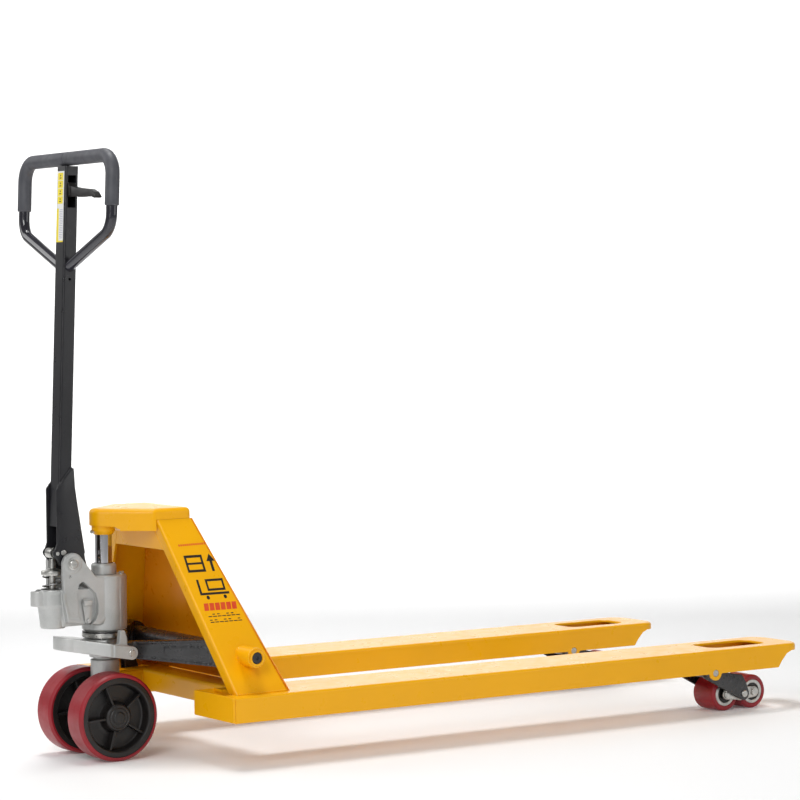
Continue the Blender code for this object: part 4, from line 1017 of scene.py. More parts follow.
def side_panel(side, sign):
    low = FORK_TOP + GAP
    rings = [raised(panel_section(share, sign), low + (PANEL_TOP_Z - low) * share) for share in (0, 1)]
    panel = loft(rings)
    bottom, top = span(sign, 0.256, 0.315)
    boss = rounded_cylinder(bottom, top, 0.0203, "Y", SHAFT_LINE, 0.0018)
    body = union(panel, boss)
    body = cut(body, rod(-0.4, 0.4, 0.0122, "Y", SHAFT_LINE, 64))
    ring_low, ring_high = span(sign, 0.3148, 0.3172)
    collar = turned([(0.0124, ring_low), (0.0168, ring_low), (0.0156, ring_high), (0.0127, ring_high)],
                    SHAFT_LINE, "Y", 64)
    beads = [collar]
    circle = [(u, sign * (panel_y(height) + 0.0004), height)
              for u, height in arc((SHAFT.x, SHAFT.z), 0.0208, 0, 360, 48)]
    beads.append(weld_bead(circle, 0.002))
    beads.append(weld_bead([(PANEL_REAR[0] + 0.004, sign * (PANEL_Y[0] + 0.0005), low + 0.0008),
                            (PANEL_FRONT[0] - 0.004, sign * (PANEL_Y[0] + 0.0005), low + 0.0008)], 0.0022))
    beads.append(weld_bead([(PANEL_REAR[0] + 0.003, sign * (PANEL_Y[0] - 0.03), low + 0.0008),
                            (PANEL_REAR[0] + 0.001, sign * (PANEL_Y[0] - 0.01), low + 0.0008)], 0.002))
    weighted(redraw(join(body, *beads), f"side_panel_{side}", "chassis", "yellow_paint"))


def on_panel(sign, outline):
    """Thin print on a side panel's outer face, drawn in X and height."""
    lifts = (-0.0004, 0.00015)
    return loft([[(u, sign * (panel_y(height) + lift), height) for u, height in outline] for lift in lifts])


def bar(low, high):
    return [low, (high[0], low[1]), high, (low[0], high[1])]


def frame_bars(low, high, width):
    """Four bars round a rectangle."""
    return [bar(low, (high[0], low[1] + width)), bar((low[0], high[1] - width), high),
            bar((low[0], low[1] + width), (low[0] + width, high[1] - width)),
            bar((high[0] - width, low[1] + width), (high[0], high[1] - width))]


def panel_graphics(side, sign):
    """Generic prints on a side panel: a lifted crate, a fork with rollers, a red bar and ruled lines."""
    crate = frame_bars((0.128, 0.3835), (0.17, 0.417), 0.005) + [bar((0.133, 0.3985), (0.165, 0.4025))]
    arrow = [bar((0.1845, 0.3835), (0.1905, 0.404)), [(0.1775, 0.4035), (0.1975, 0.4035), (0.1875, 0.418)]]
    load = frame_bars((0.16, 0.346), (0.202, 0.369), 0.0045)
    lift = [bar((0.14, 0.3385), (0.1452, 0.369)), bar((0.1452, 0.3385), (0.208, 0.343))]
    lift += [arc((0.156, 0.3335), 0.0038, 0, 345, 23), arc((0.196, 0.3335), 0.0038, 0, 345, 23)]
    black = crate + arrow + load + lift
    for row, height in enumerate((0.299, 0.288)):
        start = 0.143 + 0.0012 * row
        for dash in range(7):
            left = start + 0.0108 * dash
            black.append(bar((left, height - 0.0028), (left + 0.0088, height - 0.001)))
            if (dash + row) % 3:
                black.append(bar((left, height + 0.0014), (left + 0.006, height + 0.0032)))
    prints = [on_panel(sign, outline) for outline in black]
    piece(join(*prints), f"panel_print_{side}", "chassis", "print_black", slot="black_paint")
    red = []
    for dash in range(13):
        left = 0.124 + 0.005 * dash
        red.append(bar((left, 0.4352 + 0.0001 * dash), (left + 0.0032, 0.4392 + 0.0001 * dash)))
    for stripe in range(6):
        left = 0.1385 + 0.013 * stripe
        red.append([(left, 0.3085), (left + 0.0108, 0.3085), (left + 0.0133, 0.3228),
                    (left + 0.0025, 0.3228)])
    prints = [on_panel(sign, outline) for outline in red]
    piece(join(*prints), f"panel_stripes_{side}", "chassis", "print_red", slot="red_polyurethane")


def inner_sticker():
    """Blank white sticker on the inside of the front plate."""
    height = (0.268, 0.303)
    outline = []
    for across, level in ((-0.166, 0), (-0.199, 0), (-0.199, 1), (-0.166, 1)):
        outline.append((blend(PANEL_FRONT, panel_share(height[level])), across, height[level]))
    sticker = loft([[(u + lift, v, w) for u, v, w in outline] for lift in (0.0004, -0.0002)])
    piece(sticker, "inner_sticker", "chassis", "label_white", slot="cast_silver_paint")


def front_plate():
    """Sheet across the front, its side edges rounded over the side panels' front edges."""
    rings = []
    for share in (0, 1):
        rear = blend(PANEL_FRONT, share) + 0.0002
        half = blend(PANEL_Y, share)
        height = FORK_TOP + GAP + (PANEL_TOP_Z - FORK_TOP - GAP) * share
        outline = fillet([(rear, half), (rear, -half), (rear + SHEET, -half), (rear + SHEET, half)],
                         [0.0005, 0.0005, 0.004, 0.004], 5)
        rings.append(raised(outline, height))
    plate = loft(rings)
    low = FORK_TOP + 0.001
    beads = []
    for sign in SIDES.values():
        beads.append(weld_bead([(PANEL_FRONT[0] + SHEET + 0.001, sign * 0.186, low),
                                (PANEL_FRONT[0] + SHEET + 0.001, sign * 0.308, low)], 0.0022))
        beads.append(weld_bead([(PANEL_FRONT[0] + 0.0008, sign * (PANEL_Y[0] - 0.0002), low + 0.004),
                                (PANEL_FRONT[1] + 0.0008, sign * (PANEL_Y[1] - 0.0002),
                                 PANEL_TOP_Z - 0.006)], 0.0013))
    # the deeper yellow here is painted shade on the sheltered plate, not a different paint
    weighted(redraw(join(plate, *beads), "front_plate", "chassis", "shaded_yellow_paint"))


def rear_rib():
    """Plate in line with the panels' rear flanges, under the head casting's nose."""
    rings = []
    for height in (0.4273, NOSE_LOW - GAP):
        rear = blend(PANEL_REAR, panel_share(height))
        half = panel_y(height) - FLANGE - 0.0004
        rings.append([(rear, half, height), (rear, -half, height), (rear + SHEET, -half, height),
                      (rear + SHEET, half, height)])
    rib = bevelled(loft(rings), 0.001, 3)
    weighted(redraw(rib, "rear_rib", "chassis", "yellow_paint"))


def head_casting():
    """Cap over the side panels with a deeper nose that reaches back over the ram."""
    low = PANEL_TOP_Z + GAP
    half = PANEL_Y[1] - 0.0002
    front = PANEL_FRONT[1] + 0.0043
    end = PANEL_REAR[1] - 0.0005
    nose = arc((STEER_X, 0), 0.0288, 178, 128, 14) + [(end - 0.01, half - 0.004)]
    corner = arc((front - 0.013, half - 0.013), 0.013, 90, 0, 8)
    plan = mirrored(nose + [(end, half)] + corner)
    cap = loft([raised(plan, low)] + quarter_round(plan, low, HEAD_TOP, 0.0105, True))
    deep_plan = mirrored(nose + [(end, half - 0.0006)])
    deep = loft(quarter_round(deep_plan, NOSE_LOW, low, 0.0014, False, 3)
                + [raised(inset(deep_plan, 0.0001), low + 0.002)])
    undercut = [(-0.02, 0.46), (0.038, 0.46), (0.038, NOSE_LOW), (0.024, 0.4757), (-0.02, 0.4777)]
    deep = cut(deep, prism(undercut, "XZ", -0.05, 0.05))
    profile = [(0, 0.458), (0.0195, 0.458), (0.0243, NOSE_LOW - 0.001), (0.0243, 0.482), (0, 0.482)]
    collar = turned(fillet(profile, [0, 0.0015, 0.002, 0, 0], 4), STEER_LINE, "Z", 64)
    body = union(cap, deep, collar)
    cutters = [rod(0.4, 0.5, RAM_RADIUS + GAP, "Z", STEER_LINE, 96),
               rod(-0.05, -0.005, 0.0042, "X", SCREW_LINE, 32)]
    body = cut(body, *cutters)
    weighted(redraw(body, "head_casting", "chassis", "yellow_paint", sharp=30))
    inner = -RAM_RADIUS - GAP
    screw = turned(fillet([(0, -0.0288), (0.0037, -0.0288), (0.0037, inner), (0, inner)],
                          [0, 0.0006, 0, 0], 2), SCREW_LINE, "X", 32)
    socket = turned([(0, -0.034), (0.002, -0.034), (0.002, -0.0255), (0, -0.0255)], SCREW_LINE, "X", 6)
    redraw(cut(screw, socket), "head_screw", "chassis", "zinc_steel")


def ram():
    body = turned([(0, 0.332), (RAM_RADIUS, 0.332), (RAM_RADIUS, 0.496), (0.014, 0.499), (0, 0.499)],
                  STEER_LINE, "Z", 128)
    redraw(body, "ram", "chassis", "chrome")


def cross_beam():
    half = FORK_Y - FORK_HALF - 0.0002
    rear, front, low, high = 0.206, 0.27, 0.102, 0.1455
    outline = fillet([(rear, low), (rear, high), (front, high), (front, high - SHEET),
                      (rear + SHEET, high - SHEET), (rear + SHEET, low)],
                     [0.001, 0.008, 0.001, 0.001, 0.003, 0.001], 6)
    beam = prism(outline, "XZ", -half, half)
    beads = []
    for sign in SIDES.values():
        corner = sign * (half - GAP)
        beads.append(weld_bead([(rear - 0.0002, corner, low + 0.004),
                                (rear - 0.0002, corner, high - 0.009)], 0.0018))
    weighted(redraw(join(beam, *beads), "cross_beam", "chassis", "yellow_paint"))


SHAFT_HALF = 0.316
SHAFT_RADIUS = 0.012


def rocker_shaft():
    shaft = rod(-SHAFT_HALF, SHAFT_HALF, SHAFT_RADIUS, "Y", SHAFT_LINE, 64, 0.001)
    for sign in SIDES.values():
        centre_hole = rounded_cylinder(-0.003, 0.003, 0.0035, "Y",
                                       (SHAFT.x, sign * SHAFT_HALF, SHAFT.z), 0.0005, 32)
        shaft = cut(shaft, centre_hole)
    redraw(shaft, "rocker_shaft", "chassis", "black_paint")


def fork_pins():
    """Silver pins flush with the forks' ears, each with a screwdriver slot."""
    for side, sign in SIDES.items():
        line_y = sign * FORK_Y
        ends = (line_y - FORK_HALF + GAP, line_y + FORK_HALF - GAP)
        pin = rod(ends[0], ends[1], 0.008, "Y", FORK_PIN_LINE, 48, 0.0012)
        slots = []
        for end in ends:
            slot = block((-0.0095, end - 0.0014, -0.0008), (0.0095, end + 0.0014, 0.0008))
            slot.data.transform(Matrix.Translation(FORK_PIN_LINE)
                                @ Matrix.Rotation(math.radians(35), 4, "Y"))
            slots.append(slot)
        redraw(cut(pin, *slots), f"roller_frame_pin_{side}", "chassis", "zinc_steel")


# ---- rocker, push rods, roller frames, bogies and load rollers ---------------------------------
LEVER_Z = 0.171
CRANK_Z = 0.125


ARM_BEND = 0.058
ARM_HALF = (0.0177, 0.0308)    # half height at the bend and at the shaft
ARM_LEVEL = (0.2202, SHAFT.z)
ARM_FACE = (0.0583, 0.2283)
ARM_NORMAL = (-0.77, 0.64)


def arm_point(sign, share, climb, out):
    """Point on an arm's outer face: share of its length, climb from -1 to 1, out from the face."""
    along = blend((ARM_BEND, SHAFT.x), share) + ARM_NORMAL[0] * out
    across = blend(ARM_FACE, share) + ARM_NORMAL[1] * out
    return (along, sign * across, blend(ARM_LEVEL, share) + blend(ARM_HALF, share) * climb)


def arm_relief(sign, outline, height):
    """Raised shape on an arm's outer face, drawn in share and climb."""
    return loft([[arm_point(sign, share, climb, out) for share, climb in outline]
                 for out in (-0.0012, height)])


def rocker_arm():
    """Arms that splay from the base's lugs to the shaft tube, with rims and a blank name pad."""
    parts = [rod(-0.2445, 0.2445, 0.0216, "Y", SHAFT_LINE, 64, 0.002)]
    for sign in SIDES.values():
        outline = arc((LUG.x - 0.006, LUG.z), 0.015, 90, 270, 20)
        outline += [(ARM_BEND + 0.001, 0.2023), (ARM_BEND + 0.001, 0.238)]
        parts.append(prism(outline, "XZ", *span(sign, 0.0333, 0.0583)))
        rings = []
        for share in (0, 1):
            rings.append([arm_point(sign, share, -1, 0), arm_point(sign, share, 1, 0),
                          Vector(arm_point(sign, share, 1, 0)) - Vector((0, sign * 0.025, 0)),
                          Vector(arm_point(sign, share, -1, 0)) - Vector((0, sign * 0.025, 0))])
        parts.append(loft(rings))
        parts.append(arm_relief(sign, [(0.03, 0.74), (0.84, 0.84), (0.84, 1.0), (0.03, 1.0)], 0.002))
        parts.append(arm_relief(sign, [(0.03, -1.0), (0.84, -1.0), (0.84, -0.84), (0.03, -0.74)], 0.002))
        pad = [(0.3 + 0.43 * u, 0.95 * v) for u, v in rounded((0, -0.42), (1, 0.42), 0.12, 4)]
        parts.append(arm_relief(sign, pad, 0.0012))
        parts.append(rod(*span(sign, 0.2033, 0.2283), 0.031, "Y", SHAFT_LINE, 96, 0.001))
        parts.append(rounded_cylinder(*span(sign, 0.227, 0.231), 0.028, "Y", SHAFT_LINE, 0.002))
        lever = arc((SHAFT.x, LEVER_Z), 0.0107, 180, 360, 10)
        lever += [(SHAFT.x + 0.018, SHAFT.z), (SHAFT.x - 0.018, SHAFT.z)]
        parts.append(prism(lever, "XZ", *span(sign, ROD_Y - 0.0056, ROD_Y + 0.0056)))
    slot = prism(arc((LUG.x + 0.002, LUG.z), 0.0088, -90, 90, 12)
                 + arc((LUG.x - 0.0095, LUG.z), 0.0088, 90, 270, 12), "XZ", -0.1, 0.1)
    body = cast(parts, 0.0014, 3, [slot])
    redraw(body, "rocker_arm", "rocker", "black_casting", sharp=50)


def push_rod(side, sign):
    line_y = sign * ROD_Y
    bar = rod(0.215, FORK_PIN.x - 0.0172, 0.007, "X", (0, line_y, CRANK_Z - 0.002), 32)
    parts = [bar]
    for shift in (-0.0115, 0.0075):
        outline = arc((SHAFT.x, LEVER_Z), 0.012, 0, 180, 16)
        outline += [(SHAFT.x - 0.01, 0.125), (SHAFT.x + 0.03, 0.117)]
        parts.append(prism(outline, "XZ", line_y + shift, line_y + shift + 0.004))
    parts.append(bevelled(block((SHAFT.x - 0.006, line_y - 0.0115, 0.114),
                                (SHAFT.x + 0.03, line_y + 0.0115, 0.134)), 0.0015))
    redraw(join(*parts), f"push_rod_{side}", f"push_rod_{side}", "black_paint")


def roller_frame(side, sign):
    line_y = sign * FORK_Y
    parts = []
    for edge in (-1, 1):
        low, high = sorted((line_y + edge * 0.0475, line_y + edge * 0.0535))
        outline = arc((BOGIE.x, BOGIE.z), 0.0148, -125, 25, 14)
        outline += [(BOGIE.x + 0.006, 0.064), (BOGIE.x - 0.006, 0.082), (1.446, 0.0855),
                    (1.428, 0.0895), (1.404, 0.108)]
        outline += arc((FORK_PIN.x, FORK_PIN.z), 0.0168, 60, 235, 16)
        outline = fillet(outline, 0.003, 3)
        parts.append(bevelled(prism(outline, "XZ", low, high), 0.001, 3, 50))
    parts.append(rod(line_y - 0.07, line_y + 0.07, 0.0134, "Y", FORK_PIN_LINE, 48, 0.001))
    crank_y = sign * ROD_Y
    crank = prism(arc((FORK_PIN.x, CRANK_Z), 0.0088, 0, 180, 12)
                  + [(FORK_PIN.x - 0.012, FORK_PIN.z), (FORK_PIN.x + 0.012, FORK_PIN.z)],
                  "XZ", crank_y - 0.0058, crank_y + 0.0058)
    parts.append(crank)
    redraw(join(*parts), f"roller_frame_{side}", f"roller_frame_{side}", "black_casting")


def bogie(side, sign):
    line_y = sign * FORK_Y
    spacing = BOGIE.x - ROLLER_REAR.x
    parts = []
    for edge in (-1, 1):
        low, high = sorted((line_y + edge * 0.0362, line_y + edge * 0.0418))
        outline = arc((BOGIE.x + spacing, BOGIE.z), 0.0118, -80, 80, 12)
        outline += arc((BOGIE.x, BOGIE.z), 0.0168, 60, 120, 6)
        outline += arc((BOGIE.x - spacing, BOGIE.z), 0.0118, 100, 260, 12)
        outline += arc((BOGIE.x, BOGIE.z), 0.0168, 240, 300, 6)
        parts.append(bevelled(prism(outline, "XZ", low, high), 0.0012, 3, 50))
        stub = sorted((line_y + edge * 0.04, line_y + edge * 0.057))
        parts.append(rod(stub[0], stub[1], 0.008, "Y", middle(BOGIE), 48, 0.0012))
        for end in (-1, 1):
            boss = sorted((line_y + edge * 0.041, line_y + edge * 0.0452))
            place = (BOGIE.x + end * spacing, 0, BOGIE.z)
            parts.append(rounded_cylinder(boss[0], boss[1], 0.0092, "Y", place, 0.001, 48))
    for end in (-1, 1):
        parts.append(rod(line_y - 0.0455, line_y + 0.0455, 0.006, "Y",
                         (BOGIE.x + end * spacing, 0, BOGIE.z), 32))
    redraw(join(*parts), f"bogie_{side}", f"bogie_{side}", "zinc_steel")


def load_rollers(side, sign):
    line_y = sign * FORK_Y
    half = ROLLER_HALF
    for place in ("rear", "front"):
        name = f"load_roller_{place}_{side}"
        axle = joint_point(f"{name}_spin")
        centre = (axle.x, line_y, axle.z)
        outer = ROLLER_RADIUS
        tread = [(0.027, -half + 0.0012), (0.0285, -half), (outer - 0.003, -half), (outer, -half + 0.004),
                 (outer, half - 0.004), (outer - 0.003, half), (0.0285, half), (0.027, half - 0.0012)]
        tyre = turned(fillet(tread, [0, 0.0008, 0.0025, 0.003, 0.003, 0.0025, 0.0008, 0], 5), centre,
                      "Y", 128)
        redraw(tyre, name, name, "red_polyurethane")
        rim = [(0.0195, -half + 0.0012), (0.0205, -half + 0.0004), (0.0262, -half + 0.0004),
               (0.0272, -half + 0.0012), (0.0272, half - 0.0012), (0.0262, half - 0.0004),
               (0.0205, half - 0.0004), (0.0195, half - 0.0012)]
        piece(turned(rim, centre, "Y", 96), f"{name}_core", name, "zinc_steel", slot="zinc_steel")
        seal = [(0.009, -half + 0.003), (0.0197, -half + 0.0024), (0.0197, half - 0.0024),
                (0.009, half - 0.003)]
        piece(turned(seal, centre, "Y", 64), f"{name}_seal", name, "black_nylon", slot="black_nylon")


# ---- handle ------------------------------------------------------------------------------------
TUBE_LOW = tube_low.z
TUBE_TOP = tube_high.z
TUBE_FOOT = (-0.0739, 0.6153)    # a point of the tube's centre line, in X and height
TUBE_X = 0.015    # half sizes of the tube's section
TUBE_Y = 0.02
LOOP_RADIUS = 0.0115
GRIP_RADIUS = 0.0145
LOOP_HALF = loop_high.y - LOOP_RADIUS
HANDLE_TOP = loop_high.z - LOOP_RADIUS


def handle_x(height):
    """X of the leaning tube's centre line at a height."""
    return TUBE_FOOT[0] + (height - TUBE_FOOT[1]) * math.tan(LEAN)


def leaning(half_x, half_y, low, high, corner, shift=(0, 0)):
    """Upright bar of rounded rectangular section that leans with the handle."""
    rings = []
    outline = rounded((-half_x + shift[0], -half_y + shift[1]), (half_x + shift[0], half_y + shift[1]),
                      corner, 6)
    for height in (low, high):
        rings.append([(handle_x(height) + u, v, height) for u, v in outline])
    return loft(rings)


def handle_yoke():
    parts = []
    bolts = []
    for sign in SIDES.values():
        outline = [(-0.0983, 0.557), (-0.058, 0.604), (-0.0557, 0.56), (-0.035, 0.412)]
        outline += arc((PIVOT.x + 0.016, 0.405), 0.0236, -10, -70, 8)
        outline += arc((PIVOT.x, PIVOT.z), 0.0163, -100, -130, 3)
        outline += arc((CAM.x, CAM.z), 0.0094, 230, 120, 10) + [(-0.0983, CAM.z + 0.02)]
        cheek = prism(fillet(outline, 0.004, 4), "XZ", *span(sign, 0.0205, 0.025))
        parts.append(bevelled(cheek, 0.001, 3, 50))
    web = [(-0.0605, 0.562), (-0.0562, 0.562), (-0.0342, 0.423), (-0.0385, 0.423)]
    parts.append(bevelled(prism(web, "XZ", -0.0247, 0.0247), 0.0018, 3))
    for sign in SIDES.values():
        face = sign * 0.025
        parts.append(weld_bead([(-0.0945, sign * 0.0207, 0.561), (-0.061, sign * 0.0207, 0.6)], 0.0021))
        parts.append(rounded_cylinder(*sorted((face, face + sign * 0.0014)), 0.0058, "Y", CAM_LINE,
                                      0.0006, 40))
        bolts.append(rounded_cylinder(*sorted((face - sign * 0.001, face + sign * 0.003)), 0.0058, "Y",
                                      (-0.0846, 0, 0.4275), 0.0014, 40))
    redraw(join(*parts), "handle_yoke", "handle", "black_paint")
    piece(join(*bolts), "yoke_bolts", "handle", "zinc_steel", slot="zinc_steel")


SLOT_LOW = LEVER.z - 0.034
SLOT_HIGH = LEVER.z + 0.032


def handle_tube():
    tube = leaning(TUBE_X, TUBE_Y, TUBE_LOW, TUBE_TOP, 0.0045)
    inside = leaning(TUBE_X - 0.003, TUBE_Y - 0.003, TUBE_LOW - 0.02, TUBE_TOP - 0.004, 0.002)
    slot = leaning(0.0093, 0.01, SLOT_LOW, SLOT_HIGH, 0.002, (0, -TUBE_Y))
    tube = cut(tube, inside, slot)
    rivet_z = 0.985
    hole = rod(-0.0215, -0.015, 0.003, "Y", (handle_x(rivet_z), 0, rivet_z), 32)
    tube = cut(tube, hole)
    parts = [tube]
    for sign in SIDES.values():
        height = LOOP_JOIN + 0.006
        circle = []
        for step in range(41):
            angle = 2 * math.pi * step / 40
            level = height + 0.0125 * math.sin(angle)
            circle.append((handle_x(level) + 0.0098 * math.cos(angle), sign * (TUBE_Y + 0.0004), level))
        parts.append(weld_bead(circle, 0.0024))
    weighted(redraw(join(*parts), "handle_tube", "handle", "black_paint"))


def on_handle(low, high, lift=0.00015):
    """Thin label on the handle tube's rear face, drawn in Y and height."""
    rings = []
    for depth in (-0.0004, lift):
        rings.append([(handle_x(height) - (TUBE_X + depth) / math.cos(LEAN), across, height)
                      for across, height in bar(low, high)])
    return loft(rings)


def handle_label():
    """Label with yellow tabs over a white field, generic marks in place of words."""
    piece(on_handle((-0.0145, 1.061), (0.015, 1.206)), "handle_label", "handle", "label_white",
          slot="cast_silver_paint")
    yellow = [on_handle((-0.0105, 1.1395 + 0.016 * step), (0.0125, 1.1545 + 0.016 * step), 0.00025)
              for step in range(4)]
    yellow.append(on_handle((0.006, 1.061), (0.015, 1.13), 0.00025))
    yellow.append(on_handle((-0.0145, 1.061), (0.006, 1.064), 0.00025))
    piece(join(*yellow), "handle_label_tabs", "handle", "label_yellow", slot="yellow_paint")
    marks = []
    for step in range(4):
        height = 1.1395 + 0.016 * step
        marks.append(on_handle((-0.0025, height + 0.0035), (0.005, height + 0.0055), 0.00035))
        marks.append(on_handle((-0.0005, height + 0.008), (0.003, height + 0.011), 0.00035))
    piece(join(*marks), "handle_label_marks", "handle", "print_black", slot="black_paint")
    lines = []
    for row in range(17):
        height = 1.069 + 0.0036 * row
        start = -0.012 + 0.0004 * (row % 3)
        end = start + 0.013 + 0.002 * (row % 2)
        lines.append(on_handle((start, height), (end, height + 0.0012), 0.00035))
    piece(join(*lines), "handle_label_lines", "handle", "print_grey", slot="black_paint")


LOOP_JOIN = HANDLE_TOP - 0.225


def loop_path(sign):
    """Centre line of half the loop: top bar, shoulder, side and inward bend down to the tube."""
    bend = 0.04
    corners = [(0.0, HANDLE_TOP), (0.06, HANDLE_TOP), (0.12, HANDLE_TOP)]
    corners += list(reversed(arc((LOOP_HALF - bend, HANDLE_TOP - bend), bend, 0, 90, 14)))
    corners += [(LOOP_HALF, HANDLE_TOP - 0.06), (LOOP_HALF, HANDLE_TOP - 0.08),
                (LOOP_HALF, HANDLE_TOP - 0.1), (LOOP_HALF, HANDLE_TOP - 0.112)]
    corners += arc((LOOP_HALF - 0.045, HANDLE_TOP - 0.118), 0.045, 0, -58, 10)
    corners += [(0.1, LOOP_JOIN + 0.0382), (0.035, LOOP_JOIN + 0.012), (0.01, LOOP_JOIN + 0.002)]
    return [(handle_x(height), sign * across, height) for across, height in corners]


def handle_loop():
    bar = bar_along(loop_path(1)[::-1] + loop_path(-1)[1:], LOOP_RADIUS, 40)
    clear = block((-0.2, -TUBE_Y - 0.0002, LOOP_JOIN - 0.05), (0.1, TUBE_Y + 0.0002, LOOP_JOIN + 0.05))
    redraw(cut(bar, clear), "handle_loop", "handle", "gloss_black_tube", slot="black_paint")


def grips():
    """Rubber sleeves that meet at the middle of the top bar."""
    for side, sign in SIDES.items():
        path = loop_path(sign)
        start = (path[0][0], sign * 0.0008, path[0][2])
        stop = 21
        run = [Vector(point) for point in [start, (path[0][0], sign * 0.002, path[0][2])] + path[1:stop]]
        last = run[-1]
        down = (last - run[-2]).normalized()
        run += [last + down * 0.001, last + down * 0.0018]
        radii = [GRIP_RADIUS - 0.0009] + [GRIP_RADIUS] * (len(run) - 3)
        radii += [GRIP_RADIUS - 0.0006, GRIP_RADIUS - 0.0016]
        sleeve = tube_along(run, LOOP_RADIUS + GAP, radii, 48, (1, 0, 0))
        redraw(sleeve, f"grip_{side}", "handle", "grip_rubber")


def cam_roller():
    outline = fillet([(0.0046, -0.0125), (0.011, -0.0125), (0.011, 0.0125), (0.0046, 0.0125)],
                     [0, 0.0008, 0.0008, 0], 3)
    redraw(turned(outline, CAM_LINE, "Y", 64), "cam_roller", "cam_roller", "zinc_steel")
    pin = rod(-0.0268, 0.0268, 0.0042, "Y", CAM_LINE, 32)
    redraw(pin, "cam_roller_pin", "handle", "zinc_steel")


def control_lever():
    """Lever with a hooked tip and finger ridges, a broad root and a side plate."""
    x = LEVER.x
    z = LEVER.z
    outline = [(-0.004, z + 0.01), (-0.007, z - 0.0095), (-0.03, z - 0.0118), (-0.045, z - 0.0122)]
    for index in range(3):
        start = -0.058 - 0.014 * index
        outline += [(start, z - 0.0122), (start - 0.0045, z - 0.0146), (start - 0.009, z - 0.0124)]
    outline += [(-0.118, z - 0.0148), (-0.131, z - 0.0183), (-0.139, z - 0.0173), (-0.139, z - 0.0156),
                (-0.1275, z - 0.0056), (-0.109, z + 0.0004), (-0.053, z + 0.0053), (-0.028, z + 0.0095)]
    lever = bevelled(prism(fillet(outline, 0.0018, 3), "YZ", x - 0.0068, x + 0.0068), 0.0014, 3, 40)
    root = [(-0.0065, z + 0.018), (-0.0205, z + 0.017), (-0.028, z + 0.008), (-0.028, z - 0.009),
            (-0.0215, z - 0.012), (-0.0065, z - 0.012)]
    flange = bevelled(prism(fillet(root, 0.002, 3), "YZ", x - 0.0088, x + 0.0088), 0.001, 2, 40)
    redraw(join(lever, flange), "control_lever", "control_lever", "black_nylon")
    pin = rod(-0.0148, 0.0148, 0.003, "X", (x, LEVER.y, z), 24, 0.0004)
    redraw(pin, "control_lever_pin", "handle", "zinc_steel")


def release_rod():
    low, high = 0.5, LEVER.z - 0.045
    path = [(handle_x(low) + 0.002, 0.004, low), (handle_x(high) + 0.002, 0.004, high)]
    redraw(bar_along(path, 0.003, 16), "release_rod", "release_rod", "zinc_steel")


# ---- stage -------------------------------------------------------------------------------------
CAMERA_AZIMUTH = math.radians(-33.55)
CAMERA_DROP = math.radians(1.66)
CAMERA_ROLL = math.radians(-0.6)
CAMERA_PLACE = Vector((-3.43315, -5.2136, 0.9279))
CAMERA_LENS = 127.44
CAMERA_SHIFT = (-0.0022, -0.01775)


def stage_material(name, colour, roughness):
    n = Nodes(name)
    return n.set(Base_Color=colour, Roughness=roughness, Emission_Color=(1.0, 1.0, 1.0),
                 Emission_Strength=0.06)


def build_stage():
    """Pale floor curving up into a backdrop, square to the camera."""
    profile = [(-9.0, 0.0), (4.0, 0.0), (5.2, 0.16), (6.2, 0.75), (6.7, 1.7), (6.9, 7.0)]
    curve = fillet([(-9.0, -0.5)] + profile + [(8.0, 7.0), (8.0, -0.5)], 0.9, 8)
    backdrop = prism(curve, "YZ", -11.0, 11.0)
    backdrop.data.transform(Matrix.Rotation(CAMERA_AZIMUTH, 4, "Z"))
    backdrop.name = "backdrop"
    backdrop.data.polygons.foreach_set("use_smooth", [True] * len(backdrop.data.polygons))
    backdrop.data.materials.append(stage_material("backdrop", (0.93, 0.93, 0.93), 0.7))


def area_light(name, place, target, size, power, colour=(1, 1, 1)):
    data = bpy.data.lights.new(name, "AREA")
    data.shape = "RECTANGLE"
    data.size = size[0]
    data.size_y = size[1]
    data.energy = power
    data.color = colour
    lamp = bpy.data.objects.new(name, data)
    bpy.context.scene.collection.objects.link(lamp)
    lamp.location = place
    direction = Vector(target) - Vector(place)
    lamp.rotation_euler = direction.to_track_quat("-Z", "Y").to_euler()


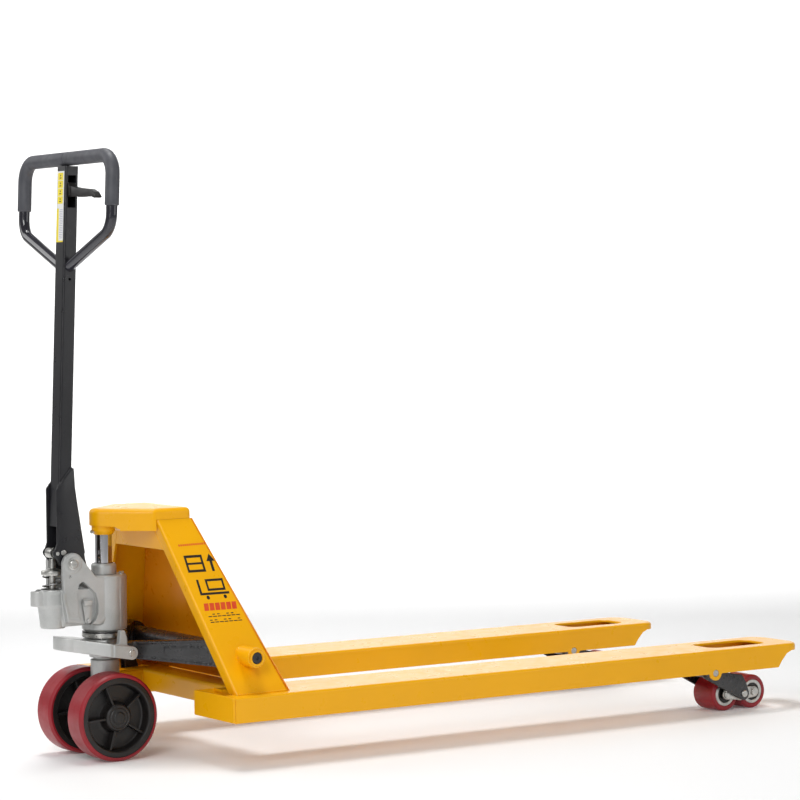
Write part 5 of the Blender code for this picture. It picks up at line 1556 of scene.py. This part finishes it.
def camera():
    """Camera set by azimuth, drop below the horizon and roll."""
    ahead = Vector((-math.sin(CAMERA_AZIMUTH), math.cos(CAMERA_AZIMUTH), 0))
    forward = ahead * math.cos(CAMERA_DROP) - Vector((0, 0, math.sin(CAMERA_DROP)))
    right = Vector((math.cos(CAMERA_AZIMUTH), math.sin(CAMERA_AZIMUTH), 0))
    up = right.cross(forward)
    level_right = right * math.cos(CAMERA_ROLL) + up * math.sin(CAMERA_ROLL)
    level_up = -right * math.sin(CAMERA_ROLL) + up * math.cos(CAMERA_ROLL)
    data = bpy.data.cameras.new("camera")
    data.lens = CAMERA_LENS
    data.sensor_width = 36
    data.shift_x, data.shift_y = CAMERA_SHIFT
    view = bpy.data.objects.new("camera", data)
    bpy.context.scene.collection.objects.link(view)
    matrix = Matrix((level_right, level_up, -forward)).transposed().to_4x4()
    matrix.translation = CAMERA_PLACE
    view.matrix_world = matrix
    bpy.context.scene.camera = view
    bpy.context.scene.view_settings.view_transform = "Standard"


def lights():
    world = bpy.data.worlds.new("studio")
    bpy.context.scene.world = world
    world.use_nodes = True
    background = world.node_tree.nodes["Background"]
    background.inputs["Color"].default_value = (1, 1, 1, 1)
    background.inputs["Strength"].default_value = 0.24
    area_light("overhead", (-0.5, 0.5, 4.2), (0.2, 0.0, 0.2), (2.0, 1.2), 98)
    area_light("key", (-3.6, -3.0, 2.9), (0.0, 0.0, 0.4), (1.8, 2.2), 88)
    area_light("fill", (2.4, -3.8, 1.6), (0.4, 0.0, 0.2), (2.6, 2.0), 26)
    area_light("strip", (-4.6, -2.4, 1.3), (-0.7, 0.0, 0.8), (0.22, 2.4), 12)
    area_light("rim", (-2.8, 2.6, 2.6), (-0.4, 0.0, 0.6), (1.6, 2.4), 30)
    wall = Matrix.Rotation(CAMERA_AZIMUTH, 3, "Z")
    area_light("wall", wall @ Vector((0.0, 3.2, 3.2)), wall @ Vector((0.0, 6.6, 2.0)), (7.0, 1.6), 230)


def build():
    steer_wheels()
    wheel_axle()
    steering_base()
    lug_pins()
    bearing()
    pump_body()
    ear_faces()
    ram_gland()
    oil_filler_plug()
    plunger()
    plunger_spring()
    valve_lever()
    for side, sign in SIDES.items():
        fork(side, sign)
        heel_plate(side, sign)
        side_panel(side, sign)
        panel_graphics(side, sign)
        push_rod(side, sign)
        roller_frame(side, sign)
        bogie(side, sign)
        load_rollers(side, sign)
    front_plate()
    inner_sticker()
    rear_rib()
    head_casting()
    ram()
    cross_beam()
    rocker_shaft()
    fork_pins()
    rocker_arm()
    handle_yoke()
    handle_tube()
    handle_label()
    handle_loop()
    grips()
    cam_roller()
    control_lever()
    release_rod()
    build_stage()
    lights()
    camera()


build()
